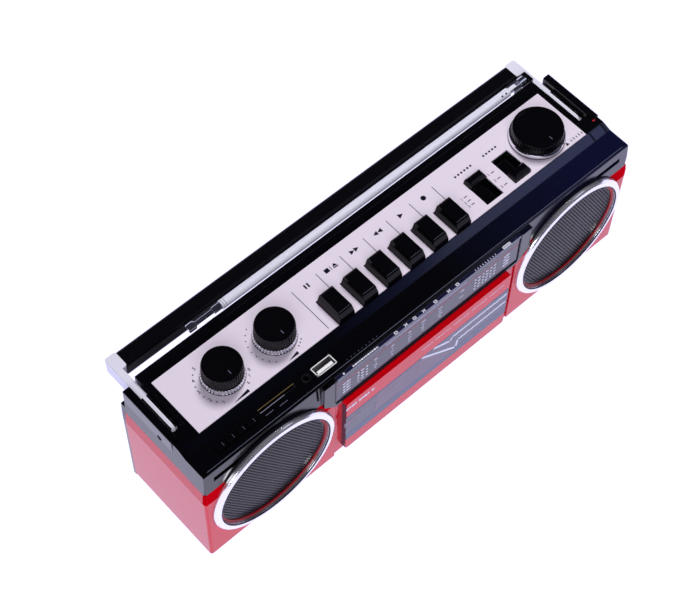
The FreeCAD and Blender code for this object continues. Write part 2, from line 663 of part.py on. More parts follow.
def make_speakers():
    """Silver rings, mesh discs, drivers and cones, one set at each end."""
    grilles = []
    drivers = []
    cones = []
    proud = s.ring_proud - s.ring_seat
    to_back = Rotation(Vector(1, 0, 0), -90)
    for side, word in ((-1, "left"), (1, "right")):
        x = side * speaker_x
        z = s.speaker_height
        profile = [(s.ring_inner, 0.8), (s.ring_inner + 0.6, 0.2), (s.ring_inner + 1.6, 0),
                   (s.ring_outer - 2.2, 0), (s.ring_outer - 0.9, 0.5), (s.ring_outer - 0.2, 1.5),
                   (s.ring_outer, 2.2), (s.ring_outer, proud), (s.ring_inner, proud)]
        ring = turned("ring_" + word, profile, x, ring_front, z, to_back)
        node(ring, "speaker_ring_" + word)
        grilles.append(rod("grille", "y", (x, z), s.ring_inner - 0.2, seat - s.grille_thickness, seat))
        start = face + s.wall - s.bulge
        flange = rod("flange", "y", (x, z), s.ring_inner - 0.5, start, start + 1.5)
        basket = cone("basket", "y", (x, z), s.cone_radius + 3.5, s.magnet_radius - 2, start + 1.5,
                      start + s.basket_depth)
        magnet = rod("magnet", "y", (x, z), s.magnet_radius, start + s.basket_depth,
                     start + s.basket_depth + s.magnet_depth)
        room = cone("cone_room", "y", (x, z), s.cone_radius + 1, s.magnet_radius - 6, start - 0.01,
                    start + s.basket_depth - 3)
        drivers.append(cut("driver", fuse("driver_solid", flange, basket, magnet), room))
        outside = cone("cone_outside", "y", (x, z), s.cone_radius, 8, start + 0.4, start + s.cone_depth)
        inside = cone("cone_inside", "y", (x, z), s.cone_radius - s.cone_thickness, 7,
                      start + 0.3, start + s.cone_depth - 1)
        cap = rod("dust_cap", "y", (x, z), 8, start + s.cone_depth - 5, start + s.cone_depth)
        post = rod("voice_coil", "y", (x, z), 6, start + s.cone_depth - 1, start + s.basket_depth - 3)
        cones.append(fuse("cone_whole", cut("cone_skin", outside, inside), cap, post))
    node(group("grille_pair", *grilles), "speaker_grilles")
    node(group("driver_pair", *drivers), "speaker_drivers")
    node(group("cone_pair", *cones), "speaker_cones")


# --- knobs, keys and switches -------------------------------------------------------------

def make_knobs():
    """Fluted volume and bass knobs and the flat tuning knob, each turned with its shaft."""
    shaft_end = s.board_height + s.board_thickness + 2 - panel_top
    for word, inset in (("volume_knob", s.volume_inset), ("bass_knob", s.bass_inset)):
        r = s.knob_radius
        tall = s.knob_height
        profile = [(0, shaft_end), (s.shaft_radius, shaft_end), (s.shaft_radius, s.gap),
                   (s.knob_skirt_radius, s.gap), (s.knob_skirt_radius, 1.8), (r, 2.3),
                   (r - 0.3, tall - 1.0), (r - 1.2, tall), (r - 2.4, tall), (r - 3.0, tall - 0.5),
                   (0, tall - 0.5)]
        knob = turned(word, profile, -half + inset, face + s.knob_row, panel_top)
        doc.recompute()
        flute(knob, word, r + 0.55, 1.1, 24, 2.4)
        node(knob, word)
    r = s.tuning_radius
    tall = s.tuning_height
    profile = [(0, shaft_end), (s.shaft_radius, shaft_end), (s.shaft_radius, s.gap),
               (s.tuning_skirt_radius, s.gap), (s.tuning_skirt_radius, 1.8),
               (s.tuning_skirt_radius - 0.6, 2.4), (r, 2.6), (r - 0.6, tall - 1.0), (r - 1.6, tall),
               (r - 3.6, tall), (r - 5.0, tall - 0.8), (0, tall - 0.8)]
    knob = turned("tuning_knob", profile, half - s.tuning_inset, face + s.knob_row, panel_top)
    doc.recompute()
    flute(knob, "tuning_knob", r + 0.35, 0.8, 48, 2.7)
    node(knob, "tuning_knob")


KEY_NAMES = ["key_pause", "key_stop", "key_forward", "key_rewind", "key_play", "key_record"]


def make_keys():
    """Six tape keys: a slanted front, a lip, and a facet down the left side."""
    low = panel_top - s.key_tail
    top = panel_top + s.key_rise
    for i, name in enumerate(KEY_NAMES):
        x = -s.key_start + i * s.key_pitch
        front = panel_front
        rear = front + s.key_length
        side_view = [(front, low), (front, top - 5.2), (front + 0.6, top - 4.4), (front + 2.4, top - 1.6),
                     (front + 3.4, top - 0.8), (rear - 1.4, top), (rear, top - 1.2), (rear, low)]
        front_view = [(x, low), (x, panel_top + 0.6), (x + s.key_facet, top), (x + s.key_width - 0.5, top),
                      (x + s.key_width, top - 1.0), (x + s.key_width, low)]
        along_x = prism(name + "_side", "yz", side_view, x, x + s.key_width)
        along_y = prism(name + "_front", "xz", front_view, front, rear)
        body = common(name + "_cap", along_x, along_y)
        mid = x + s.key_width / 2
        stem = box(name + "_stem", (mid - 2, mid + 2), (rear - 5, rear - 2), (low - 4, low))
        node(fuse(name + "_body", body, stem), name)


def make_sliders():
    """Rounded levers of the function and band switches, each on a plate that closes its well."""
    low = s.deck_height - s.slider_drop
    plate_top = low + s.shutter_thickness
    top = panel_top + s.slider_rise
    well_start = face + s.well_front
    far = s.well_length - s.slider_length - s.slider_start
    tucked = well_start - s.slider_travel
    shoulder = 2.4
    crown = 2.2
    crown_step = 0.8
    switches = (("function_slider", s.function_place, far, well_start),
                ("band_slider", s.band_place, s.slider_start, tucked))
    for name, x, start, plate_start in switches:
        y = well_start + start
        end = y + s.slider_length
        side = s.slider_width / 2
        plate = box(name + "_plate", (x - side - 0.8, x + side + 0.8),
                    (plate_start, plate_start + s.well_length + s.slider_travel), (low, plate_top))
        front_view = [(x - side, low), (x + side, low), (x + side, top - shoulder),
                      (x + side - crown_step, top - crown_step), (x + side - crown, top),
                      (x - side + crown, top), (x - side + crown_step, top - crown_step),
                      (x - side, top - shoulder)]
        side_view = [(y, low), (end, low), (end, top - crown_step - 0.6), (end - 1.1, top - 0.2),
                     (y + crown, top), (y + crown_step, top - crown_step), (y, top - shoulder)]
        lever = common(name + "_lever", prism(name + "_front", "xz", front_view, y, end),
                       prism(name + "_side", "yz", side_view, x - side, x + side))
        node(fuse(name + "_body", plate, lever), name)


# --- handle -------------------------------------------------------------------------------

def make_handle():
    """Two arms that turn on screws in the ends of the case, and the grip between them."""
    z_low = s.arm_top - s.arm_rise
    z_mid = s.arm_top - s.arm_rise / 2
    y_pivot = face + s.pivot_depth
    y_back = face + handle_back
    y_front = y_back - s.grip_depth
    for side, word in ((-1, "left"), (1, "right")):
        outer = side * (half - s.arm_inset)
        inner = side * (half - s.arm_inset - s.arm_width)
        cap_end = side * (half - s.arm_inset - s.cap_width)
        x = sorted((outer, inner), key=number)
        cap_x = sorted((outer, cap_end), key=number)
        bar = box("arm_bar", x, (y_pivot, y_back - 2), (z_low, s.arm_top))
        end = rod("arm_end", "x", (y_pivot, z_mid), s.arm_rise / 2, *x)
        cap = round_edges("arm_cap_" + word, box("arm_corner", cap_x, (y_front, y_back),
                          (z_low, s.arm_top)), 1.6, along("z"))
        eye = rod("arm_eye", "x", (y_pivot, z_mid), s.pivot_radius + s.running_gap, -half, half)
        arm = cut("arm_" + word, fuse("arm_solid", bar, end, cap), eye)
        node(arm, "handle_arm_" + word)
    grip_half = half - s.arm_inset - s.cap_width
    grip = round_edges("grip_rounded", box("grip_block", (-grip_half, grip_half), (y_front, y_back),
                       (z_low, s.arm_top)), 2.2, along("x"))
    node(grip, "handle_grip")
    screws = []
    for side in (-1, 1):
        tip = side * (half - s.slot_inset - s.slot_width - 1.4)
        head = side * (half - 1.2)
        x = sorted((tip, head), key=number)
        screws.append(rod("pivot_screw", "x", (y_pivot, z_mid), s.pivot_radius, *x))
    node(group("pivot_screws", *screws), "handle_pivot_screws")


# --- antenna ------------------------------------------------------------------------------

def make_antenna():
    """Telescopic rod: swivel base, elbow, two tubes, a thin rod and its tip."""
    y = antenna_row
    z = s.antenna_height
    left = -half + s.antenna_left
    right = -half + s.antenna_right
    joint = -half + s.elbow_place
    r = s.elbow_radius
    # base: a stud in the back cover's block, then a forked cheek
    stud = rod("antenna_stud", "x", (y, z), r, joint + 4.2, joint + 9.5)
    cheeks = []
    for y0, y1 in ((y - s.cheek_reach, y - 1.4), (y + 1.4, y + s.cheek_reach)):
        cheeks.append(box("cheek", (joint - 2.6, joint + 4.4), (y0, y1),
                          (z - s.cheek_rise, z + s.cheek_rise)))
    peg = rod("antenna_peg", "x", (y, z), s.peg_radius, joint + 9, joint + 12)
    pin_hole = rod("pin_hole", "y", (joint, z), 1.0 + s.running_gap, y - 1.6, y + 1.6)
    node(cut("antenna_base_body", fuse("antenna_base_solid", stud, peg, *cheeks), pin_hole), "antenna_base")
    tongue = box("elbow_tongue", (right - 0.6, joint), (y - 1.3, y + 1.3), (z - 1.9, z + 1.9))
    boss = rod("elbow_boss", "y", (joint, z), 1.9, y - 1.3, y + 1.3)
    pin = rod("elbow_pin", "y", (joint, z), 1.0, y - 1.55, y + 1.55)
    collar = rod("elbow_collar", "x", (y, z), s.antenna_radius, right - 3, right)
    node(fuse("antenna_elbow_body", tongue, boss, pin, collar), "antenna_elbow")
    bore = s.antenna_radius - s.tube_wall
    outer = cut("tube_outer", rod("tube_outer_solid", "x", (y, z), s.antenna_radius, left, right - 3),
                rod("tube_outer_bore", "x", (y, z), bore, left - 1, right - 8))
    node(outer, "antenna_tube_outer")
    mid_bore = s.rod_radius + s.running_gap
    mid = cut("tube_middle",
              rod("tube_middle_solid", "x", (y, z), s.mid_radius, left - s.mid_show, right - 10),
              rod("tube_middle_bore", "x", (y, z), mid_bore, left - s.mid_show - 1, right - 16))
    node(mid, "antenna_tube_middle")
    rod_left = left - s.mid_show - s.rod_show
    node(rod("tube_inner_solid", "x", (y, z), s.rod_radius, rod_left, right - 18), "antenna_tube_inner")
    r_tip = s.tip_radius
    profile = [(0, 0), (r_tip - 1.2, 0), (r_tip - 0.4, 0.4), (r_tip, 1.2), (r_tip, s.tip_length - 1.2),
               (r_tip - 0.4, s.tip_length - 0.4), (r_tip - 1.2, s.tip_length), (0, s.tip_length)]
    tip = turned("tip", profile, rod_left, y, z, Rotation(Vector(0, 1, 0), -90))
    node(tip, "antenna_tip")


# --- sockets and small buttons ------------------------------------------------------------

def socket(name, inset, row, outer_x, outer_y, open_x, open_y, depth):
    """A rectangular socket with a blind opening, flush with the front strip of the deck."""
    x = -half + inset
    y = face + row
    top = s.brow_height
    shell = box(name + "_shell", (x - outer_x / 2, x + outer_x / 2), (y - outer_y / 2, y + outer_y / 2),
                (top - depth, top))
    mouth = box(name + "_mouth", (x - open_x / 2, x + open_x / 2), (y - open_y / 2, y + open_y / 2),
                (top - depth + 1.5, top + 1))
    return cut(name + "_case", shell, mouth)


def make_brow_parts():
    """USB and card sockets, the headphone-size input and four small buttons."""
    usb = socket("usb", s.usb_inset, s.usb_row, s.usb_outer_x, s.usb_outer_y, s.usb_open_x,
                 s.usb_open_y, s.socket_depth)
    x = -half + s.usb_inset
    y = face + s.usb_row
    tongue = box("usb_tongue", (x - 5.8, x + 5.8), (y - s.usb_open_y / 2 + 0.5, y - s.usb_open_y / 2 + 2.4),
                 (s.brow_height - s.socket_depth, s.brow_height - 1.5))
    node(fuse("usb_body", usb, tongue), "usb_socket")
    node(socket("card", s.card_inset, s.card_row, s.card_outer_x, s.card_outer_y, s.card_open_x,
                s.card_open_y, s.socket_depth), "card_socket")
    centre = (-half + s.aux_inset, face + s.aux_row)
    barrel = rod("aux_barrel", "z", centre, s.aux_radius, s.brow_height - s.socket_depth, s.brow_height)
    bore = rod("aux_hole", "z", centre, s.aux_bore, s.brow_height - s.socket_depth + 1, s.brow_height + 1)
    node(cut("aux_body", barrel, bore), "aux_jack")
    for i in range(4):
        x = -half + s.button_inset + i * s.button_pitch
        y = face + s.button_row
        cap = box("button_cap", (x - s.button_x / 2, x + s.button_x / 2),
                  (y - s.button_y / 2, y + s.button_y / 2),
                  (s.brow_height - 4.2, s.brow_height + s.button_rise))
        node(round_edges("button_soft", cap, 0.5, along("z")), "media_button_" + str(i + 1))


# --- tape deck ----------------------------------------------------------------------------

def make_deck():
    """Chassis, motor, belt drive, spindles and the head plate."""
    front = face + s.chassis_front
    rear = front + s.chassis_thickness
    side = s.chassis_half_width
    reel = s.spindle_spacing / 2
    plate = box("chassis_plate", (-side, side), (front, rear), (s.base_top, s.chassis_top))
    # the motor screws to a standoff plate behind the chassis
    motor_front = face + s.flywheel_front + s.flywheel_thickness + 1.0
    shelf = box("motor_shelf", (-s.motor_place - s.motor_radius, -s.motor_place + s.motor_radius),
                (motor_front - 1.2, motor_front), (s.motor_height - 12, s.motor_height + 12))
    posts = []
    for place in (-0.85, 0.85):
        post_x = place * s.motor_radius - s.motor_place
        posts.append(box("shelf_post", (post_x - 1.5, post_x + 1.5), (rear - 0.5, motor_front),
                         (s.motor_height - 12, s.motor_height - 6)))
    wide = s.running_gap
    holes = [rod("reel_hole", "y", (side * reel, s.spindle_height), 2.0 + wide, front - 1, rear + 1)
             for side in (-1, 1)]
    holes.append(rod("capstan_hole", "y", (s.capstan_place, s.capstan_height), s.capstan_radius + wide,
                     front - 1, rear + 1))
    holes.append(rod("motor_hole", "y", (-s.motor_place, s.motor_height), 2.0,
                     motor_front - 3, motor_front + 1))
    node(cut("chassis_body", fuse("chassis_solid", plate, shelf, *posts), *holes), "deck_chassis")
    motor = rod("motor_can", "y", (-s.motor_place, s.motor_height), s.motor_radius, motor_front,
                motor_front + s.motor_length)
    node(motor, "motor")
    belt_y = face + s.flywheel_front + s.flywheel_thickness / 2
    pulley = rod("pulley_disc", "y", (-s.motor_place, s.motor_height), s.pulley_radius,
                 belt_y - s.belt_width, belt_y + s.belt_width / 2)
    neck = rod("pulley_neck", "y", (-s.motor_place, s.motor_height), 1.0, belt_y, motor_front - s.gap)
    node(fuse("pulley_body", pulley, neck), "motor_pulley")
    disc = rod("flywheel_disc", "y", (s.capstan_place, s.capstan_height), s.flywheel_radius,
               face + s.flywheel_front, face + s.flywheel_front + s.flywheel_thickness)
    capstan = rod("capstan", "y", (s.capstan_place, s.capstan_height), s.capstan_radius,
                  face + s.spindle_nose + 1, face + s.flywheel_front + 1)
    node(fuse("flywheel_body", disc, capstan), "flywheel")
    make_belt(belt_y)
    for k, word in ((-1, "supply"), (1, "takeup")):
        centre = (k * reel, s.spindle_height)
        hub = rod("spindle_hub", "y", centre, 3.0, face + s.spindle_nose, front - 1)
        splines = []
        for j in range(3):
            angle = math.radians(90 + 120 * j)
            nose = face + s.spindle_nose
            wing = box("spindle_wing", (-0.6, 0.6), (nose + 1, nose + 7), (2.0, 4.4))
            place_wing(wing, centre, face + s.spindle_nose + 1, angle)
            splines.append(wing)
        shaft = rod("spindle_shaft", "y", centre, 2.0, front - 1.2, rear + 0.4)
        disc = rod("spindle_disc", "y", centre, s.spindle_radius + 3, front - 2.2, front - 0.6)
        keeper = rod("spindle_keeper", "y", centre, 3.4, rear + 0.4, rear + 1.6)
        node(fuse("spindle_" + word + "_body", hub, shaft, disc, keeper, *splines), "spindle_" + word)
    make_head_plate(front)


def place_wing(wing, centre, y, angle):
    """Turn a spline about the spindle's axis."""
    reach = Vector(-0.6, 0, 2.0)
    turn = Rotation(Vector(0, 1, 0), math.degrees(angle))
    shift = turn.multVec(reach)
    place(wing, centre[0] + shift.x, y, centre[1] + shift.z, turn)


def make_belt(belt_y):
    """Flat belt round the flywheel and the motor pulley: two arcs and their tangents."""
    first = Vector(number(s.capstan_place), 0, number(s.capstan_height))
    last = Vector(-number(s.motor_place), 0, number(s.motor_height))
    between = last - first
    lean = math.atan2(between.z, between.x)
    big = number(s.flywheel_radius) + number(s.gap)
    small = number(s.pulley_radius) + number(s.gap)

    def loop(extra):
        r1 = big + extra
        r2 = small + extra
        spread = math.acos((r1 - r2) / between.Length)

        def at(centre, radius, angle):
            return centre + Vector(radius * math.cos(angle), 0, radius * math.sin(angle))
        a1 = at(first, r1, lean + spread)
        a2 = at(first, r1, lean - spread)
        b1 = at(last, r2, lean + spread)
        b2 = at(last, r2, lean - spread)
        edges = [Part.Arc(a1, at(first, r1, lean + math.pi), a2).toShape(),
                 Part.LineSegment(a2, b2).toShape(),
                 Part.Arc(b2, at(last, r2, lean), b1).toShape(),
                 Part.LineSegment(b1, a1).toShape()]
        return Part.Face(Part.Wire(edges))
    band = loop(number(s.belt_thickness)).cut(loop(0))
    belt = doc.addObject("Part::Feature", "belt")
    belt.Shape = band.extrude(Vector(0, number(s.belt_width), 0))
    belt.Placement = Placement(Vector(0, number(belt_y - s.belt_width / 2), 0), Rotation())
    node(belt, "drive_belt")


def make_head_plate(front):
    """Sliding plate with the heads, and the rubber roller that meets the capstan."""
    plate_front = front - 2.0
    top = s.chassis_top
    low = s.capstan_height + s.capstan_radius + s.pinch_radius + s.head_travel + 1.1
    plate = box("head_slide", (-44, 44), (plate_front, front - s.gap), (low, top))
    head = box("head_block", (-8, 8), (plate_front - 9, plate_front), (low - 1, low + 7))
    arm_x = s.capstan_place - 1
    arm = box("roller_arm", (arm_x - 3, arm_x + 3), (plate_front - 9.4, plate_front), (low - 3, low + 5))
    slot = box("roller_slot", (arm_x - 3.5, arm_x + 3.5), (plate_front - 8.6, plate_front - 0.6),
               (low - 5, low + 3.4))
    axle = rod("roller_axle", "y", (arm_x, low - 1), 0.8, plate_front - 9, plate_front - 0.4)
    node(fuse("head_body", cut("head_frame", fuse("head_solid", plate, head, arm), slot), axle), "head_plate")
    outer = rod("pinch_tyre", "y", (arm_x, low - 1), s.pinch_radius, plate_front - 8.2, plate_front - 1.2)
    bore = rod("pinch_bore", "y", (arm_x, low - 1), 0.8 + s.running_gap, plate_front - 9, plate_front)
    node(cut("pinch_body", outer, bore), "pinch_roller")


# --- boards and power ---------------------------------------------------------------------

def make_inside():
    """Main board with its controls, tuning capacitor, ferrite rod, transformer and inlet."""
    low = s.board_height
    top = low + s.board_thickness
    board_y = (panel_front + 21, seam - 4)
    side = half - 24
    board = box("board_plate", (-side, side), board_y, (low, top))
    row = face + s.knob_row
    tall = panel_top - s.deck_height + 4
    pots = []
    for x in (-half + s.volume_inset, -half + s.bass_inset):
        can = rod("pot_can", "z", (x, row), 8, top - 0.2, top + tall + 2)
        well = rod("pot_well", "z", (x, row), s.shaft_radius + s.running_gap, top + 1, top + 20)
        pots.append(cut("pot", can, well))
    switches = []
    for x in (s.function_place, s.band_place):
        switches.append(box("switch_can", (x - 5, x + 5), (face + s.well_front + 2, face + s.well_front + 20),
                            (top - 0.2, s.deck_height - s.slider_drop - s.running_gap)))
        switches.append(box("switch_tail", (x - 5, x + 5), (face + s.well_front + 2, board_y[0] + 2),
                            (low, top + 1)))
    node(fuse("board_body", board, *pots, *switches), "main_board")
    x = half - s.tuning_inset
    can = box("capacitor_can", (x - 10, x + 10), (row - 10, row + 10), (top, top + 7.5))
    well = rod("capacitor_well", "z", (x, row), s.shaft_radius + s.running_gap, top + 1, top + 20)
    node(cut("capacitor_body", can, well), "tuning_capacitor")
    ferrite_y = seam - 10
    node(rod("ferrite", "x", (ferrite_y, s.chassis_top - 2), s.ferrite_radius, -s.ferrite_length / 2,
             s.ferrite_length / 2), "ferrite_rod")
    x = s.battery_half_width + s.tub_wall + 6
    core = box("core", (x, x + s.transformer_width), (seam - 38, seam - 14), (s.base_top, s.base_top + 30))
    node(core, "transformer")
    make_inlet()


def make_inlet():
    """Two-pin mains inlet in the back cover."""
    outer = rounded_slot("inlet_case", 9.0, 5.0, back - 12, back - 0.4)
    room = rounded_slot("inlet_room", 7.6, 3.6, back - 9, back + 1)
    x = half - s.inlet_place
    pins = [rod("inlet_pin", "y", (x + k * 4.3, s.inlet_height), 1.1, back - 10, back - 2.0) for k in (-1, 1)]
    node(fuse("inlet_body", cut("inlet_shell", outer, room), *pins), "ac_inlet")


make_front_shell()
make_top_shell()
make_rear_shell()
make_base()
make_battery_door()
make_panel()
make_dial()
make_door()
make_speakers()
make_knobs()
make_keys()
make_sliders()
make_handle()
make_antenna()
make_brow_parts()
make_deck()
make_inside()
doc.recompute()

faults = [item.Name for item in doc.Objects if "Invalid" in item.State or "Error" in item.State]
if faults:
    raise SystemExit("failed objects: " + ", ".join(faults))
os.makedirs("parts", exist_ok=True)
for label, item in nodes.items():
    if item.Shape.isNull() or not item.Shape.isValid() or not item.Shape.Solids:
        raise SystemExit("bad shape: " + label)
for label, item in nodes.items():
    item.Shape.exportStep(os.path.join("parts", label + ".step"))
print(len(nodes), "sub-parts written")
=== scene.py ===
import math

import bpy
from mathutils import Matrix, Vector


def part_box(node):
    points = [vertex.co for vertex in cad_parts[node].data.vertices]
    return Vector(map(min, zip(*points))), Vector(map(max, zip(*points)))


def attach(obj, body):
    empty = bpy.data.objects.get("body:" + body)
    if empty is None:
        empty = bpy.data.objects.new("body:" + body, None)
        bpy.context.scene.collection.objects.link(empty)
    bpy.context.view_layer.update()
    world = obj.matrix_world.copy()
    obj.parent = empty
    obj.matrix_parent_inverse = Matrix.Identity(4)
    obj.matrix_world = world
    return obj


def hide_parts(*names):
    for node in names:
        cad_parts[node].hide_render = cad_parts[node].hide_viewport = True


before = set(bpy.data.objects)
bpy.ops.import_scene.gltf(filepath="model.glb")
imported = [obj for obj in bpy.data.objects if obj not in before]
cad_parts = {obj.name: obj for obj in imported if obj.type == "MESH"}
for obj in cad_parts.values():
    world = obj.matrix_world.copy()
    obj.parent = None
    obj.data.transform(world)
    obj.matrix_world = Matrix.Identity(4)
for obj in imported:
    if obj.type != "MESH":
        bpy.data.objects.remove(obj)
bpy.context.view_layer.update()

MM = 0.001
TURN = 2 * math.pi


def box_mm(node):
    """Lowest and highest corner of a CAD node, in millimetres."""
    low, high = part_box(node)
    return low / MM, high / MM


# --- places taken from the frame, in millimetres ------------------------------------------

grip_low, grip_high = box_mm("handle_grip")
lens_low, lens_high = box_mm("dial_lens")
door_low = box_mm("cassette_door")[0]
window_low, window_high = box_mm("door_window")

# How far the speaker rings stand out in front of the case's face.
RING_PROUD = 5.5
# Half of the case's width, its depth behind the face, and the height of the deck around the panel.
HALF = 172.5
CASE_DEPTH = 74.4
FACE = box_mm("speaker_ring_left")[0].y + RING_PROUD
PANEL_TOP = box_mm("control_panel")[1].z
BROW_TOP = box_mm("usb_socket")[1].z
DECK_TOP = 108.0
SIDES = ((-1, "left"), (1, "right"))


def from_left(x):
    """The x of a place that is measured from the left end of the case."""
    return x - HALF


def from_face(y):
    """The y of a place that is measured back from the case's face."""
    return FACE + y


# --- materials ----------------------------------------------------------------------------

SHADER = "Principled BSDF"
BEVEL_SAMPLES = 4
GRAIN_HEIGHT = 0.03 * MM


def surface(name, color, roughness, metallic=0.0, mottle=0.06, mottle_scale=45.0, grain=0.12,
            grain_scale=2600.0, soft=0.35, specular=0.5, alpha=1.0):
    """A moulded, painted or metal surface: slow colour drift, fine grain and softened edges."""
    mat = bpy.data.materials.new(name)
    mat.use_nodes = True
    nodes = mat.node_tree.nodes
    link = mat.node_tree.links.new
    shader = nodes[SHADER]
    shader.inputs["Metallic"].default_value = metallic
    shader.inputs["Specular IOR Level"].default_value = specular
    shader.inputs["Alpha"].default_value = alpha
    place = nodes.new("ShaderNodeTexCoord")
    drift = nodes.new("ShaderNodeTexNoise")
    drift.inputs["Scale"].default_value = mottle_scale
    drift.inputs["Detail"].default_value = 3.0
    link(place.outputs["Object"], drift.inputs["Vector"])
    fine = nodes.new("ShaderNodeTexNoise")
    fine.inputs["Scale"].default_value = grain_scale
    fine.inputs["Detail"].default_value = 2.0
    link(place.outputs["Object"], fine.inputs["Vector"])
    blend = nodes.new("ShaderNodeMix")
    blend.data_type = "RGBA"
    blend.inputs["A"].default_value = (*[c * (1 - mottle) for c in color], 1)
    blend.inputs["B"].default_value = (*[min(1.0, c * (1 + mottle)) for c in color], 1)
    link(drift.outputs["Fac"], blend.inputs["Factor"])
    bevel = nodes.new("ShaderNodeBevel")
    bevel.samples = BEVEL_SAMPLES
    bevel.inputs["Radius"].default_value = soft * MM
    link(blend.outputs["Result"], shader.inputs["Base Color"])
    rough = nodes.new("ShaderNodeMapRange")
    rough.inputs["To Min"].default_value = max(0.02, roughness * 0.8)
    rough.inputs["To Max"].default_value = min(1.0, roughness * 1.25)
    link(fine.outputs["Fac"], rough.inputs["Value"])
    link(rough.outputs["Result"], shader.inputs["Roughness"])
    bump = nodes.new("ShaderNodeBump")
    bump.inputs["Strength"].default_value = grain
    bump.inputs["Distance"].default_value = GRAIN_HEIGHT
    link(fine.outputs["Fac"], bump.inputs["Height"])
    link(bevel.outputs["Normal"], bump.inputs["Normal"])
    link(bump.outputs["Normal"], shader.inputs["Normal"])
    return mat


def zone(mat, axis, low_mm, high_mm, color, blend_mm=0.05, dull=None, front_of=None):
    """Between two places along an axis the surface takes another colour, fading in over a length.

    With front_of the change is kept to points in front of that place, and dull is the zone's own
    specular level.
    """
    nodes = mat.node_tree.nodes
    link = mat.node_tree.links.new
    shader = nodes[SHADER]
    place = nodes.new("ShaderNodeTexCoord")
    split = nodes.new("ShaderNodeSeparateXYZ")
    link(place.outputs["Object"], split.inputs["Vector"])
    rise = nodes.new("ShaderNodeMapRange")
    rise.inputs["From Min"].default_value = low_mm * MM
    rise.inputs["From Max"].default_value = (low_mm + blend_mm) * MM
    link(split.outputs[axis], rise.inputs["Value"])
    fall = nodes.new("ShaderNodeMapRange")
    fall.inputs["From Min"].default_value = (high_mm + blend_mm) * MM
    fall.inputs["From Max"].default_value = high_mm * MM
    link(split.outputs[axis], fall.inputs["Value"])
    both = nodes.new("ShaderNodeMath")
    both.operation = "MULTIPLY"
    link(rise.outputs["Result"], both.inputs[0])
    link(fall.outputs["Result"], both.inputs[1])
    if front_of is not None:
        ahead = nodes.new("ShaderNodeMath")
        ahead.operation = "LESS_THAN"
        ahead.inputs[1].default_value = front_of * MM
        link(split.outputs["Y"], ahead.inputs[0])
        kept = nodes.new("ShaderNodeMath")
        kept.operation = "MULTIPLY"
        link(both.outputs[0], kept.inputs[0])
        link(ahead.outputs[0], kept.inputs[1])
        both = kept
    old = shader.inputs["Base Color"].links[0].from_socket
    deep = nodes.new("ShaderNodeMix")
    deep.data_type = "RGBA"
    deep.inputs["B"].default_value = (*color, 1)
    link(both.outputs[0], deep.inputs["Factor"])
    link(old, deep.inputs["A"])
    link(deep.outputs["Result"], shader.inputs["Base Color"])
    if dull is not None:
        gloss = nodes.new("ShaderNodeMapRange")
        gloss.inputs["To Min"].default_value = shader.inputs["Specular IOR Level"].default_value
        gloss.inputs["To Max"].default_value = dull
        link(both.outputs[0], gloss.inputs["Value"])
        link(gloss.outputs["Result"], shader.inputs["Specular IOR Level"])


def red_surface(name):
    return surface(name, (0.68, 0.004, 0.016), 0.14, mottle=0.03, grain=0.03, soft=0.5, specular=0.27)


# The front's red carries a band of painted shade, and the door's own copy of the red a slope of painted
# light (zones below).
RED = red_surface("red_gloss_painted_shade_band")
DOOR_RED = red_surface("door_red_painted_light")
# A darker copy of the red as painted shade, for the lip in the speaker rings' recess and the line along the
# door's bottom edge.
SHADED_RED = surface("shaded_red", (0.34, 0.001, 0.004), 0.4, grain=0.05, specular=0.2)
# The black top carries a painted navy reflection from the zones below.
BLACK = surface("black_gloss_painted_reflection", (0.0012, 0.0012, 0.002), 0.16, mottle=0.04, grain=0.04, soft=0.5)
SIDE_BLACK = surface("side_black", (0.0014, 0.0013, 0.002), 0.2, mottle=0.04, grain=0.05, soft=0.5)
NAVY = surface("navy_gloss", (0.004, 0.005, 0.03), 0.14, mottle=0.03, grain=0.02, soft=0.3)
# The slope strip's lighter blue is a painted reflection.
SLOPE = surface("slope_painted_reflection", (0.008, 0.011, 0.045), 0.12, mottle=0.03, grain=0.02, soft=0.2)
KEY_BLACK = surface("key_black", (0.0014, 0.0012, 0.002), 0.12, mottle=0.03, grain=0.02, soft=0.4,
                    specular=0.25)
KNOB_BLACK = surface("knob_black", (0.0016, 0.0014, 0.0022), 0.2, mottle=0.03, grain=0.03, soft=0.3,
                     specular=0.2)
RUBBER = surface("grip_black", (0.0015, 0.0015, 0.0025), 0.3, grain=0.12, grain_scale=1800, soft=0.9)
BASE = surface("base_black", (0.006, 0.006, 0.008), 0.5, grain=0.3, grain_scale=1400, soft=0.4)
PANEL = surface("panel_silver", (0.76, 0.69, 0.82), 0.5, metallic=0.1, mottle=0.012, mottle_scale=900,
                grain=0.08, grain_scale=3800, soft=0.15)
RING = surface("ring_silver", (0.90, 0.89, 0.95), 0.17, metallic=0.85, mottle=0.02, grain=0.03, soft=0.5)
ARM = surface("arm_silver", (0.78, 0.78, 0.92), 0.36, metallic=0.15, mottle=0.02, grain=0.05, soft=0.6)
TUBE = surface("tube_silver", (0.84, 0.85, 1.0), 0.3, metallic=0.25, mottle=0.02, grain=0.02, soft=0.2)
CHROME = surface("chrome", (0.88, 0.88, 0.93), 0.12, metallic=1.0, mottle=0.02, grain=0.02, soft=0.2)
STEEL = surface("steel", (0.6, 0.6, 0.62), 0.3, metallic=0.9, mottle=0.08, grain=0.15, soft=0.2)
MESH = surface("mesh_black", (0.006, 0.005, 0.009), 0.3, specular=0.35, mottle=0.03, grain=0.03, soft=0.1)
BRASS = surface("brass", (0.62, 0.44, 0.16), 0.35, metallic=0.7, mottle=0.1, grain=0.15, soft=0.2)
PAPER = surface("paper_cone", (0.012, 0.011, 0.014), 0.85, grain=0.6, grain_scale=700)
WHITE = surface("white_plastic", (0.82, 0.82, 0.86), 0.4, mottle=0.03, grain=0.08)
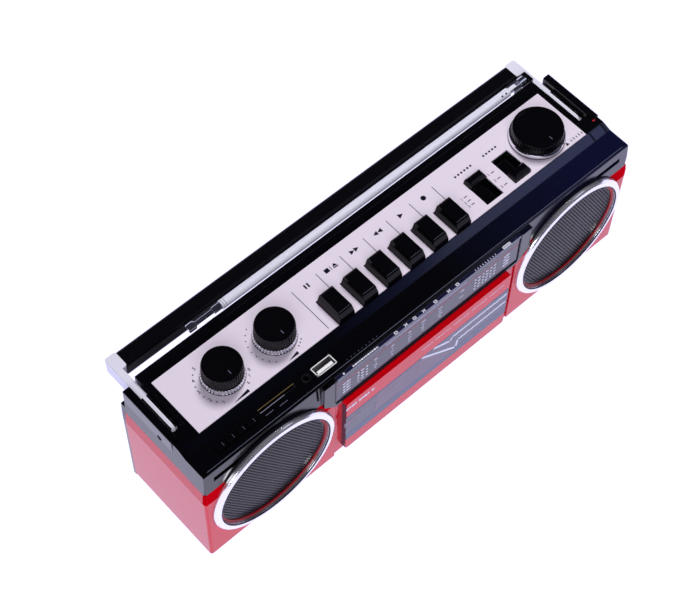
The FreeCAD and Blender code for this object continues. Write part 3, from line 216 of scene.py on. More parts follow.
INK = surface("black_ink", (0.006, 0.005, 0.012), 0.5, grain=0.05, soft=0.0)
PALE_INK = surface("pale_ink", (0.72, 0.74, 0.86), 0.45, grain=0.05, soft=0.0)
SOFT_INK = surface("soft_ink", (0.30, 0.30, 0.42), 0.45, grain=0.05, soft=0.0)
GREY_INK = surface("grey_ink", (0.10, 0.11, 0.16), 0.45, grain=0.05, soft=0.0)
RED_INK = surface("red_ink", (0.5, 0.02, 0.03), 0.45, grain=0.05, soft=0.0)
BLUE = surface("blue_edge", (0.035, 0.10, 0.24), 0.25, grain=0.03)
BLUE_HAZE = surface("blue_haze", (0.05, 0.07, 0.16), 0.3, mottle=0.15, grain=0.03)
HAZE = surface("haze", (0.16, 0.11, 0.17), 0.35, mottle=0.2, mottle_scale=30, grain=0.03)
BOARD = surface("board_green", (0.02, 0.12, 0.05), 0.4, mottle=0.3, mottle_scale=400, grain=0.2)
DARK = surface("dark_inside", (0.004, 0.004, 0.005), 0.6, grain=0.3)
FOOT = surface("foot_rubber", (0.02, 0.02, 0.02), 0.8, grain=0.6, grain_scale=1200)
LENS = surface("lens_clear", (0.25, 0.27, 0.4), 0.06, grain=0.0, soft=0.0, alpha=0.08)
SMOKE = surface("window_smoke", (0.05, 0.045, 0.10), 0.08, mottle=0.1, mottle_scale=20, grain=0.0)
SHEET = surface("dial_sheet", (0.035, 0.03, 0.055), 0.12, mottle=0.05, grain=0.0, soft=0.0, alpha=0.93)
SCALE = surface("scale_dark", (0.06, 0.05, 0.09), 0.14, mottle=0.05, grain=0.02, soft=0.0)

# The upper band of the red face, painted a deeper red without reflections as painted shade, and the top
# slope of the door, painted a brighter red without reflections as painted light where the bezel's shadow
# falls on it.
RED_BAND_PAINTED_SHADE = (74.3, 84.95)
DOOR_SLOPE_PAINTED_LIGHT = (69.0, 71.2)
# The slope between brow and deck, and places outside the object, to its left and in front of it.
SLOPE_FRONT = from_face(15.5)
SLOPE_BACK = from_face(22.0)
FAR_LEFT = -400.0
FAR_FRONT = -60.0
# Painted shade: the band on the front turns a deeper red and loses its reflections.
zone(RED, "Z", *RED_BAND_PAINTED_SHADE, (0.66, 0.001, 0.008), dull=0.0, front_of=from_face(0.6))
# Painted light: the door's top slope is brightened where the bezel shades it, and loses its reflections.
zone(DOOR_RED, "Z", *DOOR_SLOPE_PAINTED_LIGHT, (0.97, 0.001, 0.012), dull=0.0)
# Painted reflection: the black top turns navy in front of the slope's back edge.
zone(BLACK, "Y", FAR_FRONT, SLOPE_BACK, (0.003, 0.004, 0.022))
# Painted reflection: the slope strip fades darker towards the left.
zone(SLOPE, "X", FAR_LEFT, -60.0, (0.001, 0.001, 0.003), blend_mm=180.0)
# Painted reflection: the black top gets darker towards the left end.
zone(BLACK, "X", FAR_LEFT, 20.0, (0.0008, 0.0008, 0.0014), blend_mm=120.0)

CAD_LOOK = {
    "front_shell": RED, "cassette_door": DOOR_RED, "top_shell": BLACK, "rear_shell": SIDE_BLACK,
    "base_plate": BASE, "rubber_feet": FOOT, "battery_door": SIDE_BLACK, "control_panel": PANEL,
    "dial_lens": LENS, "dial_scale": SCALE, "dial_pointer": RED_INK, "door_window": SMOKE,
    "cassette_holder": DARK, "speaker_ring_left": RING, "speaker_ring_right": RING,
    "speaker_grilles": MESH, "speaker_drivers": STEEL, "speaker_cones": PAPER,
    "tuning_capacitor": WHITE, "function_slider": KEY_BLACK, "band_slider": KEY_BLACK,
    "handle_arm_left": ARM, "handle_arm_right": ARM, "handle_grip": RUBBER,
    "handle_pivot_screws": STEEL, "antenna_base": CHROME, "antenna_elbow": TUBE,
    "antenna_tube_outer": TUBE, "antenna_tube_middle": CHROME, "antenna_tube_inner": CHROME,
    "antenna_tip": CHROME, "usb_socket": STEEL, "card_socket": DARK, "aux_jack": DARK,
    "main_board": BOARD, "deck_chassis": STEEL, "motor": STEEL, "motor_pulley": BRASS,
    "flywheel": BRASS, "drive_belt": FOOT, "spindle_supply": WHITE, "spindle_takeup": WHITE,
    "head_plate": STEEL, "pinch_roller": FOOT, "ferrite_rod": DARK, "transformer": STEEL,
    "ac_inlet": BASE,
}
KEYS = ["key_pause", "key_stop", "key_forward", "key_rewind", "key_play", "key_record"]
BUTTONS = ["media_button_" + str(i) for i in (1, 2, 3, 4)]
for node_name in KEYS + BUTTONS:
    CAD_LOOK[node_name] = KEY_BLACK
for node_name, look in CAD_LOOK.items():
    node_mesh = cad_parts[node_name].data
    node_mesh.materials.clear()
    node_mesh.materials.append(look)


# --- mesh tools ---------------------------------------------------------------------------

BEVEL_SEGMENTS = 3
FLUTE_SHARPNESS = 0.6


def piece(name, verts, faces, mat, body="case", smooth=False, bevel=0.0):
    """A new piece from points in millimetres, riding on a CAD body."""
    mesh = bpy.data.meshes.new(name)
    mesh.from_pydata([(x * MM, y * MM, z * MM) for x, y, z in verts], [], faces)
    mesh.validate()
    mesh.materials.append(mat)
    for polygon in mesh.polygons:
        polygon.use_smooth = smooth
    item = bpy.data.objects.new(name, mesh)
    bpy.context.scene.collection.objects.link(item)
    if bevel > 0:
        soft = item.modifiers.new("soft_edges", "BEVEL")
        soft.width = bevel * MM
        soft.segments = BEVEL_SEGMENTS
        soft.limit_method = "ANGLE"
    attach(item, body)
    return item


def smooth_by_angle(item, degrees=35.0):
    """Smooth shading that keeps the edges sharper than an angle."""
    mesh = item.data
    limit = math.radians(degrees)
    sides = {}
    for polygon in mesh.polygons:
        polygon.use_smooth = True
        for key in polygon.edge_keys:
            sides.setdefault(key, []).append(polygon.normal.copy())
    for edge in mesh.edges:
        normals = sides.get(edge.key, [])
        if len(normals) == 2 and normals[0].angle(normals[1], 0.0) > limit:
            edge.use_edge_sharp = True
    return item


def lathe(name, profile, centre, axis, mat, body, count=128, flutes=0, depth=0.0, fluted=()):
    """Turn a profile of (radius, height) about an axis through centre.

    The rows listed in fluted get a number of flutes of a depth, and count is the points in a turn.
    """
    verts = []
    faces = []
    rows = []
    for index, (radius, height) in enumerate(profile):
        if radius == 0:
            rows.append([len(verts)])
            verts.append(at_axis(centre, axis, 0, 0, height))
            continue
        row = []
        for k in range(count):
            angle = TURN * k / count
            r = radius
            if index in fluted:
                r -= depth * (0.5 + 0.5 * math.cos(flutes * angle)) ** FLUTE_SHARPNESS
            row.append(len(verts))
            verts.append(at_axis(centre, axis, r * math.cos(angle), r * math.sin(angle), height))
        rows.append(row)
    for low, high in zip(rows, rows[1:]):
        for k in range(count):
            n = (k + 1) % count
            if len(low) == 1:
                faces.append((low[0], high[n], high[k]))
            elif len(high) == 1:
                faces.append((low[k], low[n], high[0]))
            else:
                faces.append((low[k], low[n], high[n], high[k]))
    return smooth_by_angle(piece(name, verts, faces, mat, body))


def at_axis(centre, axis, u, v, height):
    """A point beside an axis; heights along y count towards the front."""
    x, y, z = centre
    if axis == "z":
        return (x + u, y + v, z + height)
    if axis == "x":
        return (x + height, y + u, z + v)
    return (x + u, y - height, z + v)


def block(name, low, high, mat, body="case", bevel=0.3):
    """A box between two corners, with softened edges."""
    x0, y0, z0 = low
    x1, y1, z1 = high
    verts = [(x0, y0, z0), (x1, y0, z0), (x1, y1, z0), (x0, y1, z0),
             (x0, y0, z1), (x1, y0, z1), (x1, y1, z1), (x0, y1, z1)]
    faces = [(3, 2, 1, 0), (4, 5, 6, 7), (0, 1, 5, 4), (1, 2, 6, 5), (2, 3, 7, 6), (3, 0, 4, 7)]
    return piece(name, verts, faces, mat, body, bevel=bevel)


DASH_GAP = 0.45


class Print:
    """Flat marks collected on one level and made into one thin raised piece.

    On the "top" plane a mark's u and v are x and y, on the "front" plane they are x and z.
    """

    def __init__(self, plane, level, thickness=0.06):
        self.plane = plane
        self.level = level
        self.thickness = thickness
        self.verts = []
        self.faces = []

    def point(self, u, v, lift):
        if self.plane == "top":
            return (u, v, self.level + lift)
        return (u, self.level - lift, v)

    def polygon(self, points):
        area = sum(a[0] * b[1] - b[0] * a[1] for a, b in zip(points, points[1:] + points[:1]))
        if area < 0:
            points = points[::-1]
        start = len(self.verts)
        count = len(points)
        self.verts += [self.point(u, v, 0.0) for u, v in points]
        self.verts += [self.point(u, v, self.thickness) for u, v in points]
        self.faces.append(tuple(start + count + k for k in range(count)))
        self.faces.append(tuple(start + count - 1 - k for k in range(count)))
        for k in range(count):
            n = (k + 1) % count
            self.faces.append((start + k, start + n, start + count + n, start + count + k))

    def bar(self, u0, v0, u1, v1, width):
        length = math.hypot(u1 - u0, v1 - v0)
        du = (v1 - v0) / length * width / 2
        dv = -(u1 - u0) / length * width / 2
        self.polygon([(u0 + du, v0 + dv), (u1 + du, v1 + dv), (u1 - du, v1 - dv), (u0 - du, v0 - dv)])

    def path(self, points, width):
        for (u0, v0), (u1, v1) in zip(points, points[1:]):
            self.bar(u0, v0, u1, v1, width)

    def dashes(self, u0, u1, v, height, rhythm):
        """A run of short marks between two places; the rhythm gives their widths, below zero for blanks."""
        u = u0
        index = 0
        while u < u1:
            width = rhythm[index % len(rhythm)]
            if width > 0:
                self.bar(u, v, min(u + width, u1), v, height)
            u += abs(width) + DASH_GAP
            index += 1

    def disc(self, u, v, radius, count=20):
        self.polygon([(u + radius * math.cos(TURN * k / count), v + radius * math.sin(TURN * k / count))
                      for k in range(count)])

    def arrow(self, u, v, size, way=1):
        tail = u - way * size / 2
        self.polygon([(tail, v - size / 2), (u + way * size / 2, v), (tail, v + size / 2)])

    def rectangle(self, left, bottom, right, top):
        self.polygon([(left, bottom), (right, bottom), (right, top), (left, top)])

    def number(self, text, u, v, size):
        curve = bpy.data.curves.new("numeral", "FONT")
        curve.body = text
        curve.align_x = "CENTER"
        curve.align_y = "CENTER"
        curve.size = size
        item = bpy.data.objects.new("numeral", curve)
        mesh = bpy.data.meshes.new_from_object(item)
        for polygon in mesh.polygons:
            corners = [mesh.vertices[i].co for i in polygon.vertices]
            self.polygon([(u + p.x, v + p.y) for p in corners])
        bpy.data.meshes.remove(mesh)
        bpy.data.objects.remove(item)
        bpy.data.curves.remove(curve)

    def make(self, name, mat, body="case", slot="black_plastic"):
        return piece(name, self.verts, self.faces, mat, body)


# --- speakers -----------------------------------------------------------------------------

HOLE_PITCH = 2.15
HOLE_RADIUS = 0.80
MESH_DEPTH = 0.7
MESH_MARGIN = 1.0
DOME_RISE = 0.9
CELL_SIDES = 6
HOLE_SIDES = 2 * CELL_SIDES
# Corners are shared when they round to the same fiftieth of a millimetre.
WELD_STEPS = 50
RING_WIDTH = 5.1


def perforated_disc(name, x, z, radius, y):
    """Staggered round holes punched in a slightly domed disc, each in the middle of a six-sided cell."""
    row_step = HOLE_PITCH * math.sqrt(3) / 2
    corner_reach = HOLE_PITCH / math.sqrt(3)
    verts = []
    faces = []
    shared = {}
    reach = radius - MESH_MARGIN

    def dome(u, v):
        return y - DOME_RISE * (1 - (u * u + v * v) / (radius * radius))

    def corner(u, v):
        """The number of a cell corner, which neighbouring cells share."""
        key = (round(u * WELD_STEPS), round(v * WELD_STEPS))
        if key not in shared:
            shared[key] = len(verts)
            verts.append((x + u, dome(u, v), z + v))
        return shared[key]

    def cell(u, v):
        outer = []
        for k in range(CELL_SIDES):
            angle = TURN * k / CELL_SIDES
            outer.append(corner(u + corner_reach * math.sin(angle), v + corner_reach * math.cos(angle)))
        start = len(verts)
        for lift in (0.0, MESH_DEPTH):
            for k in range(HOLE_SIDES):
                angle = TURN * k / HOLE_SIDES
                p = u + HOLE_RADIUS * math.sin(angle)
                q = v + HOLE_RADIUS * math.cos(angle)
                verts.append((x + p, dome(p, q) + lift, z + q))
        for k in range(CELL_SIDES):
            a = start + 2 * k
            b = a + 1
            c = start + (2 * k + 2) % HOLE_SIDES
            faces.append((outer[k], outer[(k + 1) % CELL_SIDES], c, b))
            faces.append((outer[k], b, a))
        for k in range(HOLE_SIDES):
            n = (k + 1) % HOLE_SIDES
            faces.append((start + k, start + n, start + HOLE_SIDES + n, start + HOLE_SIDES + k))

    rows = int(reach / row_step) + 1
    for j in range(-rows, rows + 1):
        for i in range(-rows * 2, rows * 2 + 1):
            u = (i + 0.5 * (j % 2)) * HOLE_PITCH
            v = j * row_step
            if math.hypot(u, v) <= reach:
                cell(u, v)
    return piece(name, verts, faces, MESH, "case")


def dress_speakers():
    """Each grille with its rim, the red lip around it in a painted-shade red, and dark lines in and outside
    the ring that are painted dark reflections on its chrome.
    """
    grille_y = box_mm("speaker_grilles")[0].y
    for word in ("left", "right"):
        low, high = box_mm("speaker_ring_" + word)
        x = (low.x + high.x) / 2
        z = (low.z + high.z) / 2
        outer = (high.x - low.x) / 2
        inner = outer - RING_WIDTH
        disc = perforated_disc("grille_" + word, x, z, inner, grille_y + 0.2)
        if word == "left":
            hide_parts("speaker_grilles")
        rim = [(inner - 2.4, -0.25), (inner - 2.2, 0.0), (inner, 0.05), (inner + 0.2, -0.5)]
        # The lip takes the painted-shade red.
        lip = [(inner - 1.5, 0.2), (inner - 1.35, 0.75), (inner - 0.9, 0.95), (inner - 0.1, 0.9),
               (inner + 0.1, 0.4)]
        # The line and edge rings are painted dark reflections over the chrome ring's outer side and inner
        # edge.
        line = [(outer + 0.02, -3.4), (outer + 0.2, -3.5), (outer + 0.2, -5.3), (outer + 0.02, -5.4)]
        edge = [(inner + 0.02, -0.9), (inner + 0.05, -0.72), (inner + 0.55, -0.12), (inner + 0.75, -0.02),
                (inner + 0.75, -0.3)]
        for part, profile, y, mat, slot in (("grille_rim_", rim, grille_y, MESH, "mesh_black"),
                                            ("red_lip_painted_shade_", lip, grille_y, SHADED_RED, "red_plastic"),
                                            ("ring_outer_painted_reflection_", line, low.y, INK, "black_plastic"),
                                            ("ring_inner_painted_reflection_", edge, low.y, INK, "black_plastic")):
            lathe(part + word, profile, (x, y, z), "y", mat, "case")


# --- knobs --------------------------------------------------------------------------------

FLUTE_POINTS = 8
SMALL_KNOB = {"skirt_radius": 13.5, "cap_radius": 12.6, "height": 14.0, "skirt_height": 4.2,
              "flutes": 44, "depth": 0.6, "fluted_skirt": (2, 3, 4)}
TUNING_KNOB = {"skirt_radius": 18.2, "cap_radius": 16.8, "height": 10.4, "skirt_height": 4.0,
               "flutes": 60, "depth": 0.25, "fluted_skirt": ()}
KNOB_LINE = (4.4, 7.2)
SCALE_RADIUS = 17.2
SCALE_START = 124.0
SCALE_STEP = 13.5
SCALE_MARKS = 9
LOW_MARK_RADIUS = 15.4


def knob(name, skirt_radius, cap_radius, height, skirt_height, flutes, depth, fluted_skirt):
    """Knob cap with flutes and a bright skirt under it, standing for the plain CAD knob, with a dark ring at
    its foot that is painted shade.
    """
    low, high = box_mm(name)
    centre = ((low.x + high.x) / 2, (low.y + high.y) / 2, PANEL_TOP)
    h = skirt_height
    # Painted shade: a thin dark ring where the knob meets the panel.
    foot = [(skirt_radius - 3, 0.3), (skirt_radius - 0.02, 0.3), (skirt_radius, 0.4), (skirt_radius, 0.75),
            (skirt_radius - 0.1, 0.85), (skirt_radius - 3, 0.85)]
    lathe(name + "_painted_shade_ring", foot, centre, "z", INK, name)
    skirt = [(skirt_radius - 1.5, 0.8), (skirt_radius - 0.15, 0.85), (skirt_radius - 0.1, 1.1),
             (skirt_radius - 0.25, h * 0.7), (skirt_radius - 0.5, h - 0.15), (cap_radius - 0.3, h),
             (cap_radius - 2, h)]
    lathe(name + "_skirt", skirt, centre, "z", CHROME, name, count=flutes * FLUTE_POINTS,
          flutes=flutes, depth=depth, fluted=fluted_skirt)
    r = cap_radius
    t = height
    cap = [(r - 1.5, h - 0.4), (r - 0.1, h - 0.3), (r, h), (r, h + 0.6), (r - 0.2, t - 1.9),
           (r - 0.35, t - 1.0), (r - 0.7, t - 0.4), (r - 1.2, t - 0.05), (r - 1.6, t), (r - 2.2, t - 0.05),
           (r - 2.9, t - 0.4), (r - 3.5, t - 0.5), (0, t - 0.5)]
    body = lathe(name + "_cap", cap, centre, "z", KNOB_BLACK, name,
                 count=flutes * FLUTE_POINTS, flutes=flutes, depth=depth, fluted=(3, 4, 5))
    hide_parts(name)
    mark = Print("top", PANEL_TOP + t - 0.5, 0.1)
    start, stop = KNOB_LINE
    mark.bar(centre[0], centre[1] - r + start, centre[0], centre[1] - r + stop, 0.5)
    mark.make(name + "_mark", GREY_INK, name, "black_plastic")
    return centre


def around(centre, radius, degrees):
    """The place at a distance from a centre, where 0 degrees points to the right."""
    angle = math.radians(degrees)
    return centre[0] + radius * math.cos(angle), centre[1] + radius * math.sin(angle)


def dress_knobs():
    """The three knobs, and the numbers, dots and wedges printed around the two small ones."""
    volume = knob("volume_knob", **SMALL_KNOB)
    bass = knob("bass_knob", **SMALL_KNOB)
    knob("tuning_knob", **TUNING_KNOB)
    ink = Print("top", PANEL_TOP)
    for k in range(SCALE_MARKS):
        degrees = SCALE_START + SCALE_STEP * k
        if k % 2 == 0:
            ink.number(str(5 - k // 2), *around(volume, SCALE_RADIUS, degrees), 3.5)
        else:
            ink.disc(*around(volume, SCALE_RADIUS, degrees), 0.45)
        ink.disc(*around(bass, SCALE_RADIUS, degrees), 0.4)
    for k in range(3):
        ink.number(str(8 - k), *around(volume, LOW_MARK_RADIUS, -27 - 16 * k), 3.0)
        ink.disc(*around(bass, LOW_MARK_RADIUS, -49 - 9 * k), 0.45)
    for centre, wide in ((volume, 12.0), (bass, 8.0)):
        x = centre[0] - 1.0 - wide / 2
        y = from_face(23.2)
        ink.polygon([(x, y), (x + wide, y), (x + wide, y + 2.1)])
    ink.make("knob_scales", INK)


# --- panel printing -----------------------------------------------------------------------

KEYS_LEFT = 115.0
KEY_PITCH = 19.0
KEY_LINE = (24.3, 57.2)
SIGN_ROW = 54.5
SIGN_SIZE = 3.2
# Left end and rows of each switch's marks, and left and right end of each row of dots.
SWITCH_MARKS = ((235.2, (31.3, 34.6, 38.0)), (260.6, (28.5, 34.6, 40.2)))
DOT_ROWS = ((245.0, 259.5), (269.2, 279.6))
DOT_PITCH = 2.6


def dress_panel():
    """Lines between the keys' signs, the signs, and the switches' ticks and numbers."""
    ink = Print("top", PANEL_TOP)
    first = from_left(KEYS_LEFT)
    for i in range(len(KEYS) + 1):
        u = first + KEY_PITCH * i
        ink.bar(u, from_face(KEY_LINE[0]), u, from_face(KEY_LINE[1]), 0.4)
    v = from_face(SIGN_ROW)
    pause, stop, forward, rewind, play, record = [first + KEY_PITCH * (i + 0.5) for i in range(len(KEYS))]
    for shift in (-1.1, 1.1):
        ink.bar(pause + shift, v - SIGN_SIZE / 2, pause + shift, v + SIGN_SIZE / 2, 1.1)
    ink.bar(stop - 4.6, v, stop - 1.4, v, 3.0)
    ink.bar(stop, v - 1.6, stop, v + 1.6, 0.4)
    ink.bar(stop + 1.4, v - 1.3, stop + 4.8, v - 1.3, 0.7)
    ink.polygon([(stop + 1.4, v - 0.5), (stop + 4.8, v - 0.5), (stop + 3.1, v + 1.7)])
    for u, way in ((forward, 1), (rewind, -1)):
        ink.arrow(u - 1.7, v, SIGN_SIZE, way)
        ink.arrow(u + 1.7, v, SIGN_SIZE, way)
    ink.arrow(play, v, SIGN_SIZE * 1.1)
    ink.disc(record, v, SIGN_SIZE * 0.55)
    for left, rows in SWITCH_MARKS:
        x = from_left(left)
        for k, row in enumerate(rows):
            ink.number(str(len(rows) - k), x + 1.0, from_face(row), 2.9)
            ink.bar(x + 2.9, from_face(row), x + 5.4, from_face(row), 0.55)
    for left, right in DOT_ROWS:
        u = from_left(left)
        while u < from_left(right):
            ink.disc(u, from_face(52.8), 0.75)
            u += DOT_PITCH
    ink.polygon([(from_left(313.6), from_face(23.6)), (from_left(316.4), from_face(23.6)),
                 (from_left(315.0), from_face(25.9))])
    for k in range(5):
        u = from_left(319.0 + 2.3 * k)
        ink.bar(u, from_face(24.0), u, from_face(25.2 + 0.4 * (k % 2) + 0.4), 0.55)
    ink.make("panel_marks", INK)


def dress_key_highlights():
    """A fine grey line along the bend of each key, a painted highlight."""
    for name in KEYS:
        low, high = box_mm(name)
        # Painted highlight along the key's bend.
        edge = Print("top", high.z - 0.86, 0.1)
        edge.bar(low.x + 2.4, low.y + 3.3, high.x - 0.9, low.y + 3.3, 0.16)
        edge.make(name + "_lip", GREY_INK, name, "black_plastic")


# --- dial ---------------------------------------------------------------------------------

# Height of each printed row on the dial with its numbers, and the places that the numbers start from.
DIAL_ROWS = ((91.5, ("88", "92", "96", "100", "104", "108")), (88.0, ("7", "9", "12", "16", "22")),
             (84.7, ("54", "60", "70", "80", "100", "160")), (81.5, ("6", "8", "10", "12", "18")))
DIAL_PLACES = (128.5, 142, 156, 167, 181, 199)
# Left and right end, height of the marks and rhythm of the dashes that stand for words in a row.
DIAL_DASHES = ((102.5, 108.5, 1.4, (2.0, 2.6)), (114, 123, 1.2, (1.5, -0.5, 2.2, -0.8)),
               (210, 229, 1.2, (1.4, -0.6, 1.9, -1.0)), (235, 240, 1.5, (1.7, 2.2)))
DIAL_EDGE = 0.4
DIAL_BOTTOM = 76.8
DIAL_TOP = 101.4
VISOR_FRONT = FACE - 2.95
SIGN_PLACES = (144, 152, 159, 166.5, 176, 187, 194)
# Left, bottom, top and width of the grooves beside the dial.
BEZEL_LINES = ((85.9, 88.0, 104.6, 1.6), (96.2, 77.0, 104.0, 0.8), (248.4, 77.0, 104.0, 0.8),
               (256.9, 84.0, 104.8, 0.7))


def dress_dial():
    """The dial's sheet and rows, the dark band over it with its marks, and the grooves beside it."""
    level = lens_low.y
    left = lens_low.x + DIAL_EDGE
    right = lens_high.x - DIAL_EDGE
    sheet = Print("front", level, 0.03)
    sheet.rectangle(left, DIAL_BOTTOM, right, DIAL_TOP)
    sheet.make("dial_sheet", SHEET, "case", "scale_print")
    pale = Print("front", level, 0.07)
    for height, labels in DIAL_ROWS:
        for label, place in zip(labels, DIAL_PLACES):
            pale.number(label, from_left(place), height, 2.6)
        for start, stop, tall, rhythm in DIAL_DASHES:
            pale.dashes(from_left(start), from_left(stop), height, tall, rhythm)
    pale.make("dial_numbers", PALE_INK)
    red = Print("front", level, 0.07)
    red.bar(left, 94.6, right, 94.6, 0.5)
    red.make("dial_red_line", RED_INK)
    light = Print("front", level, 0.07)
    light.bar(from_left(136), 98.4, from_left(202.5), 98.4, 1.6)
    light.make("dial_light_bar", SOFT_INK)
    top = lens_high.z + 0.5
    band = block("dial_top_band", (lens_low.x + 0.3, VISOR_FRONT, DIAL_TOP),
                 (lens_high.x - 0.3, FACE - 1.2, top), NAVY, bevel=0.15)
    rule = Print("front", VISOR_FRONT, 0.04)
    rule.bar(lens_low.x + 1, 102.6, lens_high.x - 1, 102.6, 0.5)
    rule.make("dial_top_rule", SOFT_INK)
    dress_dial_top(Print("top", top, 0.06))
    lines = Print("front", box_mm("top_shell")[0].y, 0.05)
    for place, bottom, crest, wide in BEZEL_LINES:
        lines.bar(from_left(place), bottom, from_left(place), crest, wide)
    lines.make("bezel_lines", INK)


def dress_dial_top(marks):
    """Small signs along the top of the dark band: crosses and frames in turn, ticks, and a long frame."""
    row = FACE - 2.15

    def frame_of(x0, x1, half_rise, width):
        y0, y1 = row - half_rise, row + half_rise
        marks.path([(x0, y0), (x1, y0), (x1, y1), (x0, y1), (x0, y0)], width)

    marks.disc(from_left(103), row, 0.6)
    marks.dashes(from_left(110), from_left(130), row, 0.9, (1.1, 1.6, 0.9))
    for k, place in enumerate(SIGN_PLACES):
        x = from_left(place)
        if k % 2:
            marks.bar(x - 1.1, row - 0.7, x + 1.1, row + 0.7, 0.5)
            marks.bar(x - 1.1, row + 0.7, x + 1.1, row - 0.7, 0.5)
        else:
            frame_of(x - 1.0, x + 1.0, 0.6, 0.45)
    for k in range(9):
        x = from_left(209 + 2.1 * k)
        marks.bar(x, row - 0.6, x, row + 0.3, 0.4)
    a = from_left(232.5)
    b = from_left(238.5)
    frame_of(a, b, 0.7, 0.5)
    marks.bar(a, row, b, row, 0.3)
    marks.make("dial_top_marks", PALE_INK)


# --- cassette door ------------------------------------------------------------------------

BOSS_SIDE = 69.0
GAP_PLACE = 75.75
DOOR_LINES_TOP = 70.0


def window_print(name, mat, thickness, draw):
    """One layer printed on the door's window; layers that overlap differ in thickness."""
    layer = Print("front", window_low.y, thickness)
    draw(layer)
    layer.make(name, mat, "door", "window_smoke")


def dress_window():
    """A blue upper edge, a dim band, two hazy areas, a dark area, two bent bands and rows of dashes."""
    x0, x1 = window_low.x, window_high.x
    z0, z1 = window_low.z, window_high.z
    haze_top = z1 - 1.4
    band_top = z1 - 0.8
    dark_left, dark_right = from_left(103), from_left(127.5)

    def border(layer):
        layer.bar(x0, z1 - 0.6, x1, z1 - 0.6, 1.1)
        layer.bar(x1 - 14, z1 - 1.6, x1, z1 - 1.6, 1.4)

    def haze(layer):
        layer.polygon([(dark_right, 31), (from_left(196), 28), (from_left(166), haze_top),
                       (from_left(128), haze_top)])

    def bands(layer):
        layer.path([(from_left(240), 47.3), (from_left(192.5), 47.8), (from_left(190.5), 45),
                    (from_left(176), band_top)], 2.1)
        layer.path([(from_left(240), 38.3), (from_left(198), 38.4), (from_left(196.5), 30.5),
                    (from_left(166), band_top)], 2.1)

    def dots(layer):
        layer.dashes(from_left(205), from_left(230), 30, 0.9, (1.6, 1.0, 2.1, 1.3))
        layer.dashes(from_left(116), from_left(126), 43.0, 1.0, (1.4, 1.9, 1.1))
        layer.dashes(from_left(140), from_left(160), 42.0, 0.8, (1.7, 1.1, 2.2))

    window_print("window_border", BLUE, 0.05, border)
    window_print("window_low_band", BLUE_HAZE, 0.03, lambda layer: layer.rectangle(x0, z0, x1, 30))
    window_print("window_haze", HAZE, 0.04, haze)
    window_print("window_dark", SCALE, 0.045,
                 lambda layer: layer.rectangle(dark_left, 31, dark_right, haze_top))
    window_print("window_bands", PALE_INK, 0.09, bands)
    window_print("window_dots", SOFT_INK, 0.1, dots)
    window_print("window_patch", HAZE, 0.1,
                 lambda layer: layer.rectangle(from_left(101.9), 41.5, from_left(114.5), 46.5))


def dress_door():
    """The window's layers, painted shade on the left side of the raised middle, the door's outline with a
    painted shade line along its bottom, and printed dashes.
    """
    dress_window()
    # Painted shade: a thin navy sheet over the left side of the raised middle.
    block("boss_side_painted_shade_left", (-BOSS_SIDE - 0.12, door_low.y + 0.6, 12.0),
          (-BOSS_SIDE + 0.1, from_face(-1.5), 67.0), NAVY, "door", 0.02)
    gap = Print("front", FACE, 0.05)
    for side in (-1, 1):
        gap.bar(side * GAP_PLACE, door_low.z + 1, side * GAP_PLACE, DOOR_LINES_TOP, 0.7)
    gap.make("door_gap_lines", INK)
    # Painted shade: a darker red line along the door's bottom edge.
    sill = Print("front", FACE, 0.05)
    sill.bar(-75.0, 5.95, 75.0, 5.95, 0.6)
    sill.make("door_sill_line", SHADED_RED, "case", "red_plastic")
    strip = Print("front", door_low.y, 0.05)
    strip.dashes(from_left(165.6), from_left(238.5), 62.5, 0.7, (2.0, 1.2, 2.6, 1.6, -1.4, 1.1, 2.4))
    strip.make("door_dashes", PALE_INK, "door", "red_plastic")
    bold = Print("front", door_low.y, 0.05)
    bold.dashes(from_left(103), from_left(126), 63.0, 2.3, (1.9, 1.5, 2.4, 1.2, -1.0))
    bold.make("door_bars", PALE_INK, "door", "red_plastic")


# --- deck, sockets and handle ---------------------------------------------------------------

def dress_usb():
    """The white tongue with its four contacts, and the bright rim with one cut corner."""
    low, high = box_mm("usb_socket")
    mid = (low.x + high.x) / 2
    row = (low.y + high.y) / 2
    block("usb_white_tongue", (mid - 5.7, row - 2.2, low.z + 3), (mid + 5.7, row - 0.1, high.z - 0.5),
          WHITE, "case", 0.2)
    for k in range(4):
        u = mid - 3.9 + 2.6 * k
        block("usb_contact_" + str(k + 1), (u - 0.5, row - 0.15, low.z + 4),
              (u + 0.5, row + 0.05, high.z - 1), BRASS, "case", 0.05)
    rim = Print("top", high.z - 0.02, 0.1)
    inset = 0.35
    corner = 1.6
    a = low.x + inset
    b = high.x - inset
    c = low.y + inset
    d = high.y - inset
    rim.path([(a + corner, c), (b, c), (b, d), (a, d), (a, c + corner), (a + corner, c)], 0.6)
    rim.make("usb_rim", WHITE, "case", "steel")


